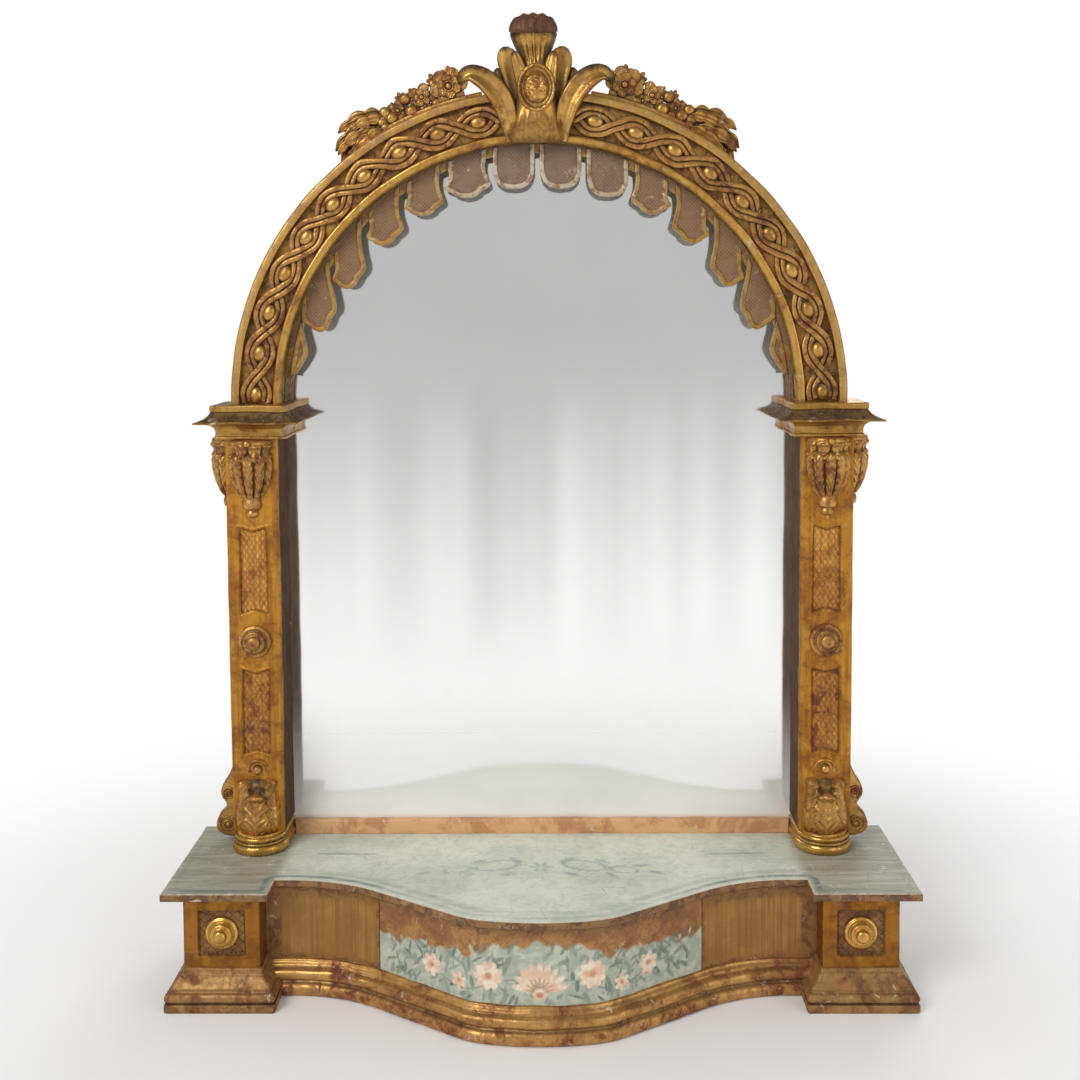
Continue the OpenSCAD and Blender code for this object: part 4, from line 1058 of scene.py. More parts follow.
middle = along_front(board_levels(1.1), -184.6, 184.6, at=BOARD_FRONT, every=1.5)
run = np.concatenate([[0], np.cumsum(np.linalg.norm(np.diff(middle[:, 5, :2], axis=0), axis=1))])
grid_u, grid_v = np.broadcast_arrays((run - run[-1] / 2)[:, None], middle[..., 2] - 40)
middle = bar(middle, **frieze_drawing(grid_u, grid_v))
put("frieze_centre", [middle], FRIEZE_PAINT, nodes=["frieze_center"])

# %% [markdown]
# ## Shelf
# One painted board with a rounded arris, widened over the two pedestals. Its top is a grid whose last
# row follows the curved front, and its rim is a strip that carries the arris round the whole outline.


# %% Shelf board
SLAB_IN, SLAB_OUT = 308.0, 430.0
INSET = 1.2
ARRIS = np.array([
    [0, SHELF_TOP], [0.7, 139.7], [1.1, 139], [1.2, 138], [1.2, 135], [1.2, 132.4], [0.9, 131.4], [0, SHELF_LOW]
])


def shelf_board():
    """Three joined grids for the top, the same for the underside, and a rounded strip round them."""
    x_mid = np.linspace(-SLAB_IN - INSET, SLAB_IN + INSET, 249)
    deep = np.linspace(0, 1, 76)[:, None]
    front = np.interp(x_mid, LINE[:, 0], LINE[:, 1])[None, :]
    y_mid = (BACK - INSET) * (1 - deep) + deep * (front + INSET)
    y_slab = np.concatenate([y_mid[:, 0], np.linspace(y_mid[-1, 0], BOW["front"] + INSET, 17)[1:]])
    left = join(np.linspace(-SLAB_OUT + INSET, -SLAB_IN - INSET, 49)[None, :], y_slab[:, None])
    right = left[:, ::-1] * (-1, 1)
    mid = join(x_mid[None, :], y_mid)
    rows = len(y_mid)
    loop = np.concatenate([
        left[:-1, 0], left[-1, :-1], left[rows - 1:, -1][::-1][:-1], mid[-1, :-1], right[rows - 1:-1, 0],
        right[-1, :-1], right[:0:-1, -1], right[0, ::-1][:-1], mid[0, ::-1][:-1], left[0, ::-1][:-1]
    ])
    ahead = np.roll(loop, -1, axis=0) - loop
    out = np.stack([ahead[:, 1], -ahead[:, 0]], 1) / np.linalg.norm(ahead, axis=1)[:, None]
    corner = out + np.roll(out, 1, axis=0)
    out = corner * (2 / (corner**2).sum(1))[:, None]
    out *= np.sign(((loop - (0.0, 60.0)) * out).sum(1).mean())
    rim = loop[None] + ARRIS[:, 0, None, None] * out[None]
    rim = join(rim[..., 0], rim[..., 1], ARRIS[:, 1:])
    sheets = [sheet(rim, closed=True, **shelf_marks(rim, loop, 0.0))]
    for z in (SHELF_TOP, SHELF_LOW):
        for part in (left, mid, right):
            grid = join(part[..., 0], part[..., 1], z)
            sheets.append(sheet(grid, **shelf_marks(grid, loop, 1.0)))
    return sheets


def shelf_marks(grid, loop, flat):
    """The attributes edge (mm to the outline), side (the rim), border (a line inside the front), slab, and
    motif (two faint scrolls with leaves on either side of a small rosette)."""
    near = distance(grid[..., :2], loop[::2]) * flat
    x, y, z = np.abs(grid[..., 0]), grid[..., 1], grid[..., 2]
    line = mask(1 - np.abs(near - 8.5) / 4.6, 0.7) * ease(y, 104, 70) * (1 - 0.75 * ease(x, 404, 416))
    line = line * (1 - 0.6 * ease(x, 205, 150))
    wide = 0.4 * mask(1 - np.abs(near - 21) / 8.5, 0.9) * ease(y, 70, 50) * (x < 300)
    inner = 0.75 * mask(1 - np.abs(y - 44 - 0.02 * x) / 3.0, 0.5) * ease(x, 196, 206) * ease(x, 276, 266)
    shapes = []
    for middle, radii, hole in (((52, 14), (34, 17), 0.22), ((98, 2), (22, 12), 0.26)):
        value = oval(x, y, middle, radii, -18)
        shapes.append(mask(1 - np.abs(value - hole) / 0.13, 0.5) * (x > 16))
    for place, angle in (
        ((30, 30), 40), ((74, 26), -30), ((118, 14), 10), ((84, -14), -50), ((36, -10), -30), ((136, -6), -24)
    ):
        shapes.append(mask(oval(x, y, place, (13, 4.2), angle), 0.4))
    for angle in range(0, 360, 60):
        place = np.add((0, 10), rotate(9, 0, angle))
        shapes.append(mask(oval(grid[..., 0], y, place, (6, 3.6), angle), 0.4))
    border = np.clip(line + wide + inner, 0, 1) * flat
    motif = np.maximum.reduce(shapes) * flat
    return dict(edge=near, side=ease(z, 139.6, 139.0), border=border, slab=ease(x, 296, 316), motif=motif)


put("shelf_board", shelf_board(), SHELF_PAINT, smooth=50)


# %% Sill rail
SILL = soft([
    [16.4, 0], [26.2, 0], [26.2, 16], [24.6, 18], [16.6, 18], [16.4, 9.7], [8.2, 9.7], [8.2, 0]
], 1.3, 3, closed=True)


def sill_rail():
    """An L section whose rounded lip stands in front of the glass: [forward from the back, up]."""
    x = np.linspace(-309.8, 309.8, 120)[:, None]
    return hand_cut(bar(join(x, BACK - SILL[None, :, 0], SHELF_TOP + SILL[None, :, 1])))


put("sill_rail", sill_rail(), SILL_CLAY)


# %% [markdown]
# ## Pilasters
# A pilaster is a plain post with two sunk, hatched panels whose ends come in to a shallow point. It
# stands on a half-round foot ringed like a turning. Its inner back corner is rebated for the glass.


# %% Pilaster shafts and feet
POST = (313.0, 375.5)
POST_MID = 344.25
POST_FRONT, POST_BACK = 59.5, 130.0
POST_DEEP = 90.75
REBATE = (318.5, 121.7)
PANELS = ((260.0, 365.0), (433.0, 538.0))
PANEL_HALF = 16.5


def post_block(front, levels, radius, cols, relief=None, **marks):
    """A block with the pilaster's plan, rebated for the glass."""
    return faced_block(*POST, front, levels, radius, cols, relief, POST_BACK, REBATE, **marks)


def panel_depth(x, z):
    """Distance in mm from the outline of the nearest sunk panel, above 0 inside. Its ends come in
    by 5 mm in the middle."""
    off = np.abs(x - POST_MID)
    dip = 5 * np.clip(1 - off / PANEL_HALF, 0, 1)
    inside = [np.minimum(PANEL_HALF - off, np.minimum(z - low - dip, high - dip - z)) for low, high in PANELS]
    return np.maximum(*inside)


def panel_relief(x, z):
    """Sunk 3 mm inside, with a bead 0.9 mm high round it."""
    d = panel_depth(x, z)
    return 3.0 * ease(d, 0, 1.6) - 0.9 * hump(d + 2.2, 1.2)


def pilaster():
    """The post with its sunk panels. Clay shows in the lower one. The outer side is a little darker, and the
    inner side much darker with painted shade; a painted shadow line follows the panels' outlines."""
    grid = post_block(POST_FRONT, fill([[0, 164.6], [0, 645.2]], 1.5), 1.8, 56, panel_relief)
    x, y, z = np.moveaxis(grid["points"], -1, 0)
    depth, facing = panel_depth(x, z), y < POST_FRONT + 8
    # Painted shadow: a dark line along the outlines of the sunk panels.
    outline = 0.4 * hump(depth, 1.5) * facing
    # Painted shade: the inner side is made much darker than the outer one.
    sides = (y > POST_FRONT + SIDE_FROM) * np.where(x < POST_MID, 1.5, 0.35)
    grid["marks"].update(
        ground=ease(depth, 0.4, 1.6) * (y < y.min() + FACE_TO), soil=np.maximum(outline, sides),
        bole=0.8 * ease(depth, 0, 1.6) * ease(z, 400, 380) * facing
    )
    return hand_cut(grid, 0.4, 70)


foot_rings = soft(profile(
    [[-3, 0.1], [-0.4, 0.1]], torus(0, 3, 0.4, 11.6, 11), [[-0.8, 12], [0.9, 12.6], [0.9, 14.8], [-0.9, 15.5]],
    torus(-2, 3, 16, 22, 9), [[-2.4, 22.6], [-2.4, 24.7], [-6, 25]]
), 0.5, 2)


def pilaster_foot():
    """Half-round foot: a broad torus, a fillet and a small torus."""
    return hand_cut(post_block(40.5, fill(foot_rings, 1.2) + (0, SHELF_TOP), "full", 1), 0.3)


def pilaster_boss():
    """The boss between the panels, rubbed to the clay."""
    grid = turned((POST_MID, POST_FRONT, 399), boss_levels(20, 13.8))
    grid["marks"]["bole"] = 0.8
    return [grid]


both("pilaster", pilaster, PILASTER_GILT)
both("pilaster_foot", pilaster_foot, BRIGHT_GILT)
both("pilaster_boss", pilaster_boss, CARVED_GILT)


# %% Capitals
CAPITAL_Z, ABACUS_Z = 645, 678
capital_levels = fill(soft([
    [6, 0], [9.5, 0], [10.5, 1], [10.5, 3.4], [9, 4], [9, 9], [10.5, 13], [14, 16.5], [19, 18.5], [26, 19.5],
    [30.8, 20.4], [30.8, 22], [26, 23.5], [20, 26], [16.5, 29], [14, 32.9], [5, 33]
], 0.6, 3), 2.0) + (0, CAPITAL_Z)
plate_levels = soft([[5, 0], [13.8, 0], [14.4, 0.8], [14.4, 7.0], [13.6, 8], [5, 8]], 0.5, 3) + (0, ABACUS_Z)


def capital():
    """Astragal, hollow, sharp edge and a slope back up to the plate, dirty and dull above the edge."""
    above = ease(capital_levels[:, 1:], 665, 668)
    return hand_cut(post_block(POST_FRONT, capital_levels, 2.0, 30, soil=1.2 * above, worn=0.35 * above), 0.5)


def abacus():
    """The plate that carries the arch."""
    return hand_cut(post_block(POST_FRONT, plate_levels, 1.8, 30), 0.4)


both("capital", capital, CAPITAL_GILT)
both("abacus", abacus, CAPITAL_GILT)

# %% [markdown]
# ## Arch
# The arch is sawn in four pieces, glued and moulded with a scratch stock, which is why one section
# serves all four. The guilloche is carved from the solid of its channel: two double strands that pass
# over and under each other round a row of oval beads.


# %% Arch segments
ARCH_Z, ARCH_IN, ARCH_OUT = 686.0, 309.0, 370
ARCH_SECTION = soft([
    [318.5, 8], [370, 8], [370, 66], [368, 68], [360, 68], [359, 61.2], [320, 61.2], [319, 66.8], [316.8, 68],
    [312, 67], [309.6, 64.5], [309, 61], [309, 50.1], [312.5, 50.1], [312.5, 43.9], [309, 43.9], [309, 16.3],
    [318.5, 16.3]
], 1.1, 3, closed=True)


def round_arch(section, start, end, step=1.0):
    """A section of [radius r, depth h] turned about the springing centre: x = r cos t, z = r sin t."""
    t = np.radians(np.linspace(start, end, int(abs(end - start) / step) + 2))[:, None]
    r, h = np.asarray(section, float).T[:, None, :]
    return join(r * np.cos(t), BACK - h, ARCH_Z + r * np.sin(t))


def arch_marks(r, h):
    """Grime and clay on the floor of the channel, painted shadow on the inner rim beside the pelmet, and dull leaf on
    the outer one.
    """
    channel = ease(r, 318.8, 320) * ease(r, 361, 358.5) * (h < 63)
    # The second term is painted shadow on the inner rim, where it meets the pelmet.
    soil = 0.6 * channel + 0.9 * ease(r, 314, 310) * ease(h, 66, 62)
    return dict(soil=soil, bole=0.8 * channel, worn=0.55 * ease(r, 359, 362))


for k, word in enumerate(("right_lower", "right_upper", "left_upper", "left_lower")):
    segment = bar(round_arch(ARCH_SECTION, 45 * k, 45 * k + 45), **arch_marks(*ARCH_SECTION.T))
    put("arch_" + word, hand_cut(segment, 0.4, 60), ARCH_GILT)


# %% Guilloche
BEAD_R, BEAD_START, BEAD_STEP, CHANNEL_H = 339.5, 1.8, 8.5, 61.0
SWING, STRAND_HALF, CORD_HIGH = 12.2, 7.1, 5.6


def strand(sign):
    """One double strand. Its middle runs at r = BEAD_R + sign * SWING * cos(phase), it rises by
    1.5 sign sin(phase) where it passes over the other one, and its section has two rounded cords."""
    t = np.linspace(0.5, BEAD_START + 9.55 * BEAD_STEP, 560)
    phase = np.pi * (t - BEAD_START) / BEAD_STEP
    r = BEAD_R + sign * SWING * np.cos(phase)
    middle = np.stack([r * cosine(t), r * sine(t)], 1)
    u = np.linspace(-1, 1, 21)
    cords = np.sqrt(np.clip(1 - (2 * np.abs(u) - 1) ** 2, 0, 1)) ** 0.8
    height = np.where(np.abs(u) > 0.99, 0, 0.5 + 0.5 * cords) * CORD_HIGH
    lift = 1.5 * sign * np.sin(phase)
    flat = middle[:, None] - normals(middle)[:, None] * (STRAND_HALF * u)[None, :, None]
    h = CHANNEL_H + height[None] + np.where(height > 0, 1, 0)[None] * lift[:, None]
    points = by_hand(join(flat[..., 0], BACK - h, ARCH_Z + flat[..., 1]), 0.5, 24)
    return bar(points, bole=0.7, soil=0.15)


def oval_bead(angle):
    """A domed oval bead, 7.4 mm half across the channel and 10.2 mm half along it."""
    shape = soft([[0.2, 0], [1.0, 0], [1.0, 4.0], [0.94, 6.0], [0.78, 8.0], [0.48, 9.4], [0, 9.9]], 0.5, 4)
    rho, h = shape.T[:, :, None]
    a = circle(30)[None]
    x, z = rotate(BEAD_R + 7.4 * rho * np.cos(a), 10.2 * rho * np.sin(a), angle)
    return bar(join(x, BACK - CHANNEL_H + 0.3 - h, ARCH_Z + z), bole=0.5 * ease(h, 8.5, 5.5))


def guilloche():
    """Both strands and ten beads."""
    return [strand(1), strand(-1)] + [oval_bead(BEAD_START + k * BEAD_STEP) for k in range(10)]


for word, side in (("left", -1), ("right", 1)):
    put("guilloche_" + word, guilloche(), CARVED_GILT, 45, side)

# %% [markdown]
# ## Pelmet
# A thin board cut into lappets hangs in a groove of the arch, a little way in front of the glass. The
# lappets nearest the crown are plain tongues and the others are waisted, each with a raised gilt rim
# and a hatched ground.


# %% Pelmet
SLOTS = np.array([0, 56, 112, 161, 207, 249, 288, 312.0])
DROPS = (52, 52, 53, 59, 71, 67, 0)
LEAN = (0, 1, 2, 3, 2, -3, 0)
PALE = (1.0, 0.7, 0.2, 0, 0, 0, 0)
PELMET_FRONT, PELMET_BACK, GROOVE_R = 88.9, 94.0, 303
TONGUE = [[1, 0], [1, 0.2], [1, 0.4], [0.96, 0.6], [0.85, 0.77], [0.66, 0.89], [0.42, 0.965], [0, 1]]
OGEE = [
    [0.92, 0], [0.88, 0.2], [0.95, 0.4], [1.1, 0.58], [1.1, 0.68], [0.9, 0.77], [0.68, 0.83], [0.6, 0.89],
    [0.3, 0.975], [0, 1]
]
SIXTH_LAPPET = (
    [
        [252, 171], [251, 160], [248.5, 145], [245.5, 130], [243.2, 116], [245, 108.5], [250, 103], [252.5, 96],
        [256, 89.5], [263, 85.5]
    ],
    [[286, 128], [286, 118], [286, 108], [285.5, 100], [281, 96.5], [276, 93], [271, 88.5], [263, 85.5]]
)
LAST_LAPPET = [[287, 102], [285, 88], [281.5, 73], [279.5, 62], [282.5, 53], [288, 44], [294, 36], [301.4, 31]]


def inner_edge(x, margin=0.0):
    """Height of the arch's inner edge over x: sqrt(r^2 - x^2)."""
    return np.sqrt(np.maximum((ARCH_IN - margin) ** 2 - np.asarray(x, float) ** 2, 0))


def lappet_edges(i, shape):
    """Left and right outline of a lappet from its top to its tip. The shape [half width, drop] is scaled to
    the slot. The last two lappets have outlines of their own, and the last one ends in the groove."""
    if i == 5:
        return [flow(edge, 61) for edge in SIXTH_LAPPET]
    if i == 6:
        held = np.arcsin(np.linspace(103, 31, 61) / GROOVE_R)
        return [flow(LAST_LAPPET, 61), GROOVE_R * np.stack([np.cos(held), np.sin(held)], 1)]
    x0, x1 = SLOTS[i] + 3, SLOTS[i + 1] - 3
    mid, tip = (x0 + x1) / 2 + LEAN[i], inner_edge((x0 + x1) / 2) - DROPS[i]
    w, d = flow(shape, 60).T
    w[-1], d[-1] = 0.0, 1.0
    edges = []
    for x, top in ((x0, inner_edge(x0, 10)), (x1, inner_edge(x1, 10))):
        line = np.stack([mid + (x - mid) * w, top + (tip - top) * d], 1)
        edges.append(np.concatenate([[[line[0, 0], top + 9.5]], line]))
    return edges


def lappet(i, shape):
    """Grid from the top of a lappet to its tip. Each row joins the left outline to the right one, and
    runs round the back, so that the board is closed. The rim stands 1.3 mm high and is rounded outside."""
    left, right = lappet_edges(i, shape)
    t = (1 - np.cos(np.linspace(0, np.pi, 45)))[None, :, None] / 2
    front = left[:, None] * (1 - t) + right[:, None] * t
    rim = distance(front, np.concatenate([fill(left, 0.8), fill(right, 0.8)]))
    rounded = 1.1 * (1 - np.sqrt(np.clip(1 - (1 - rim / 1.4) ** 2, 0, 1))) * (rim < 1.4)
    raised = 1.3 * ease(rim, RIM_WIDTH + 0.6, RIM_WIDTH - 0.8) - rounded
    behind = front[:, ::-6]
    flat = np.zeros(behind.shape[:2])
    whole = np.concatenate([front, behind], axis=1)
    y = np.concatenate([PELMET_FRONT - raised, flat + PELMET_BACK], axis=1)
    points = join(whole[..., 0], y, ARCH_Z + whole[..., 1])
    return bar(points, rim=np.concatenate([rim, flat], axis=1), pale=PALE[i], reverse=y > PELMET_BACK - 1)


def pelmet(plain):
    """The ring in the groove and seven lappets, the first ones plain."""
    ring = round_arch([[298.8, 44.2], [312.3, 44.2], [312.3, 48.9], [298.8, 48.9]], 5.8, 89.99, 1.5)
    gap = np.abs(ring[..., 0, None] - SLOTS).min(-1)
    held = bar(ring, rim=20 * ease(gap, 5, 8), reverse=ring[..., 1] > PELMET_BACK - 1)
    return [held] + [lappet(i, TONGUE if i < plain else OGEE) for i in range(7)]


put("pelmet_left", pelmet(1), PELMET_GILT, 40, -1)
put("pelmet_right", pelmet(2), PELMET_GILT, 40, 1)


# %% [markdown]
# ## Carving: tools
# The carver's forms come down to four kinds: turnings with leaves cut into them, leaves along a curved
# midrib, dished petals and round berries. A leaf's section is a rounded bar whose front can be hollowed
# and ribbed, as a gouge would leave it.


# %% Carved turnings, leaves, petals and berries
def carved_turning(centre, levels, relief):
    """An upright turning of [radius, height] whose radius gets relief(angle from the front in degrees,
    height) added. Its deep places are dirty."""
    r, h = fill(levels, 1.0).T[:, :, None]
    a = np.linspace(-180, 180, 180, endpoint=False)[None, :]
    cuts = relief(a, h)
    r = np.maximum(r + np.clip(r / 6, 0, 1) * cuts, 0)
    points = join(r * sine(a), -r * cosine(a), h)
    return bar(points + centre, soil=0.85 * ease(cuts, -0.8, -3.2), bole=0.3)


def blade(path, y, hollow=0.0, ribs=0, lobes=0, side=1, count=70, around=40, back=0.45, depth=0.26):
    """Leaf along rows [x, z, half width, half depth, forward]. Its front is
    (1 - u^2)^0.5 (1 - hollow (1 - u^2)^1.5) with ribs, its rear is flatter by back, and lobes scallop its
    edges by depth."""
    rows = flow(path, count)
    t = np.linspace(0, 1, count)
    w = np.maximum(rows[:, 2] * (1 + (depth * (np.abs(np.cos(lobes * np.pi * t)) - 0.5) if lobes else 0)), 0.2)
    d = np.maximum(rows[:, 3], 0.2)
    a = circle(around)
    u, v = np.cos(a), np.sin(a)
    bulge = 1 - u**2
    front = np.sqrt(bulge) * (1 - hollow * bulge**1.5)
    if ribs:
        front = front + 0.13 * bulge * np.cos(ribs * np.pi * u)
    v = np.where(v > 0, front, back * v)
    flat = rows[:, None, :2] + normals(rows[:, :2])[:, None] * (w[:, None] * u)[..., None]
    return bar(join(flat[..., 0] * side, y - rows[:, 4, None] - d[:, None] * v, flat[..., 1]))


def petal(centre, angle, reach, size, cup=2.0, veins=3):
    """A dished petal of size (length, width, thickness), its middle reach from centre in the direction
    angle of the upright plane. cup lifts its rim."""
    lat = np.linspace(0, np.pi, 13)[:, None]
    lon = circle(28)[None]
    length, width, thick = size
    along, across = length * np.sin(lat) * np.cos(lon), width * np.sin(lat) * np.sin(lon)
    rim = np.sin(lat) ** 2
    grooves = 0.35 * thick * (np.cos(lat) > 0) * rim * (1 - rim) * 4 * np.cos(veins * np.pi * across / width) ** 2
    x, z = rotate(reach + along, across, angle)
    return sheet(join(x, -(thick * np.cos(lat) + cup * rim - grooves), z) + centre, closed=True)


def berry(centre, radius, flat=1.0):
    """A ball with a small dimple in front."""
    lat = np.linspace(0, np.pi, 15)[:, None]
    lon = circle(24)[None]
    r = radius * (1 - 0.12 * hump(lat, 0.3))
    ball = join(r * np.sin(lat) * np.cos(lon), -flat * r * np.cos(lat), r * np.sin(lat) * np.sin(lon))
    return sheet(ball + centre, closed=True)


# %% [markdown]
# ## Carving: husks and leaf cups
# Under each capital hangs a husk: a collar of small leaves, a ribbed bell, a ring, a bead and a tip. At
# the foot six acanthus leaves wrap a cup, with a bead under a small hood above them.


# %% Husks
HUSK = soft([
    [0, -102], [2.6, -101.4], [4.6, -98], [4.2, -95.6], [8.6, -93], [9.6, -89.5], [8.4, -86.8], [8, -85.6],
    [12.2, -83.6], [13.2, -78.5], [12.6, -74.4], [11.6, -72.6], [14.6, -66], [20, -54], [23.6, -40], [24.6, -28],
    [23, -20.6], [19.6, -15.6], [20.6, -11.6], [24.6, -7.6], [26, -3.4], [24.6, -0.4], [0, 0]
], 1.2, 3)


def husk_relief(a, h):
    """Pointed ribs on the bell, and a collar of leaves whose tips hang over it."""
    turn = np.abs(((a / 36 + 0.5) % 1) - 0.5) * 2
    bell = ease(h, -73, -67) * ease(h, -16 - 11 * turn**2, -19 - 11 * turn**2)
    rib = bell * (1.9 * (1 - turn**2) - 2.2 * ease(turn, 0.6, 1.0) + 1.0 * hump(turn, 0.14))
    vein = bell * 1.3 * np.cos(2 * np.pi * (h - 15 * turn) / 9) * (0.15 + turn) * (1 - turn**3)
    leaf = np.abs(((a / 44) % 1) - 0.5) * 2
    hang = -14.5 - 7.5 * (1 - leaf**1.4)
    collar = ease(h, hang - 0.6, hang + 1.2) * ease(h, -2, -8)
    return rib + vein + collar * (3.4 - 2.4 * leaf**3 + 0.8 * np.cos(leaf * 9)) * ease(h, -4, -9)


def husk():
    """The husk, half sunk in the front of the pilaster, with a small boss on its collar."""
    body = carved_turning((POST_MID, POST_FRONT + 4, CAPITAL_Z), HUSK, husk_relief)
    return [body, berry((POST_MID, POST_FRONT - 21, CAPITAL_Z - 4), 4.4)]


def side_husk():
    """The same husk on the outer side of the pilaster."""
    return [carved_turning((POST[1] - 3, POST_DEEP, CAPITAL_Z), HUSK, lambda a, h: husk_relief(a - 90, h))]


both("husk", husk, CARVED_GILT, 50)
both("side_husk", side_husk, CARVED_GILT, 50)


# %% Leaf cups
CUP_Z = 165
CUP = soft([
    [0, 0], [24.6, 0], [27.4, 7], [28.4, 15], [27.4, 27], [25.4, 38], [24.6, 48], [24, 56], [20, 63], [12, 65.5],
    [0, 66]
], 1.5, 3)
LEAVES = (
    (0, 31, 51, 2.2), (50, 31, 66, 0.4), (-50, 31, 66, 0.4), (104, 30, 60, 0.0), (-104, 30, 60, 0.0),
    (180, 48, 60, 0.0)
)


def cup_relief(a, h):
    """The highest of six leaves, each (middle and half width in degrees, top, extra height). A leaf has a
    midrib, rising side veins, a lobed edge and a tip that curls outwards. Two curls sit at the foot."""
    total = np.full(np.broadcast(a, h).shape, -4.2)
    for middle, half, top, extra in LEAVES:
        place = ((a - middle + 180) % 360 - 180) / half
        off = np.minimum(np.abs(place) * (1 + 0.14 * np.cos(2 * np.pi * h / 13)), 1.3)
        edge = top - 13 * off**1.8
        vein = np.cos(2 * np.pi * (h - 17 * off) / 9) * (0.25 + off) * (1 - off**3)
        form = extra + 1.4 * (1 - off**2) + 1.1 * vein + 1.5 * hump(off, 0.12)
        curl = 5.0 * hump(h - top + 4.5, 4.5) * (1 - 0.5 * off)
        inside = ease(off, 1.0, 0.86) * ease(h, edge + 1.5, edge - 1)
        total = np.maximum(total, inside * (form + curl + 4.2) - 4.2)
    lobe = 3.4 * hump(h - 12, 6.0) * hump(np.abs(a) - 27, 7.5)
    foot = -1.5 * hump(h - 2, 3)
    return total + lobe + foot


def leaf_cup():
    """The cup of leaves, the bead above it and its hood."""
    body = carved_turning((POST_MID, 71.75, CUP_Z), CUP, cup_relief)
    a = (np.linspace(-0.25, 1.25, 40) * np.pi)[3:-3:4]
    x, z = POST_MID + 11 * np.cos(a), CUP_Z + 77 + 10.5 * np.sin(a)
    hood = join(x, z, 2.2, 4.2 * np.sin(np.clip(a, 0.3, 2.84)), 0)
    return [body, blade(hood, POST_FRONT + 0.5), berry((POST_MID, POST_FRONT - 1, CUP_Z + 76), 6.2)]


both("leaf_cup", leaf_cup, CARVED_GILT, 50)


# %% Side scrolls
SCROLL_EDGE = [
    [-4, 10.5], [6, 11], [17, 13.4], [24.6, 20], [25.4, 28], [22, 37], [15.6, 43], [12.6, 48], [13.2, 54], [17.6, 60],
    [19, 67], [17, 75], [12, 83], [8, 90], [4.6, 98], [0.6, 106], [-4, 109]
]
SPIRALS = (((POST[1] + 10, 167), 10.5), ((POST[1] + 8, 206), 8))


def side_scroll():
    """Two lobes on the outer side of a pilaster: a closed outline carried across, rounded over at both
    faces, with a spiral ridge and an eye on each face."""
    edge = flow(SCROLL_EDGE, 120)
    a = np.radians(np.linspace(-90, 90, 11))
    inset, across = 4.0 * (1 - np.cos(a)), 12 * np.sign(a) + 4 * np.sin(a)
    flat = (POST[1], SHELF_TOP) + edge[None] + inset[:, None, None] * normals(edge)[None]
    groove = 0.9 * np.cos(a * 5)[:, None] * (edge[None, :, 0] > 1)
    pieces = [bar(join(flat[..., 0] + groove, POST_DEEP + across[:, None], flat[..., 1]))]
    for (x, z), size in SPIRALS:
        turn = np.radians(np.linspace(-60, 560, 90))
        r = size * (1 - turn / 14)
        path = join(x + r * np.cos(turn), z + r * np.sin(turn), 1.5, 2.2, 0)
        for y in (POST_DEEP - 15.2, POST_DEEP + 15.2):
            pieces += [blade(path, y, count=90, around=12, back=1.0), berry((x, y, z), size * 0.34)]
    return pieces


both("side_scroll", side_scroll, CARVED_GILT, 50)

# %% [markdown]
# ## Carving: crest
# One block of wood: a fluted foot that opens into a bell-shaped leaf, two broad hollow volutes that curl
# over at the sides, small leaves between, an oval medallion in the middle and a curled tip on top.


# %% Crest leaf
CREST_BACK, CREST_FOOT, CAP_Z = 69.9, 994.0, 1120.0
BELL = [
    [0, 36, 9], [0.03, 37, 15], [0.09, 36, 19], [0.2, 31.5, 21.5], [0.34, 27, 21], [0.5, 23.5, 20], [0.63, 19, 17],
    [0.73, 17, 16], [0.78, 18.4, 16.5], [0.83, 20.4, 17.5], [0.88, 22.8, 20], [0.94, 25.8, 22.5], [0.98, 27.4, 24],
    [1, 27.6, 24]
]
VOLUTE = [
    [28, 1, 8, 6, -5], [30, 14, 9.5, 9, -2], [33.5, 29, 11.5, 12, 0], [38.5, 45, 13, 14, 2],
    [47.5, 59.5, 13.5, 15, 4], [58, 70.5, 13, 15, 5], [69, 77, 11.5, 14, 5], [78, 78.5, 9.5, 12, 5],
    [84.5, 75.5, 7.5, 9.5, 4], [88, 70, 5, 7, 3], [88.5, 66, 1.5, 3, 1]
]
OUTER_LOBE = [
    [22, 50, 8, 7, 0], [25, 61, 10.5, 8, 0], [27.5, 73, 12, 9.5, 1], [29.5, 84, 12.2, 9.5, 2], [31, 94, 11.8, 9, 4],
    [32, 101, 10.4, 8, 6], [32.5, 106, 8, 6, 7], [32.5, 109, 3, 2, 7]
]
INNER_LOBE = [
    [14, 50, 5, 7, 4], [15.5, 62, 7, 9, 5], [17, 75, 8, 9.5, 6], [19.5, 88, 7.5, 9, 7], [22, 97, 5.5, 7, 8],
    [23.5, 103, 2, 3, 8]
]
LOWER_LOBE = [
    [30, 44, 6, 6, 0], [36, 54, 8, 7, 0], [40, 64, 8.5, 6.5, 0], [43, 74, 7, 5, 1], [44, 82, 5, 3, 2],
    [44, 86, 1.5, 2, 2]
]


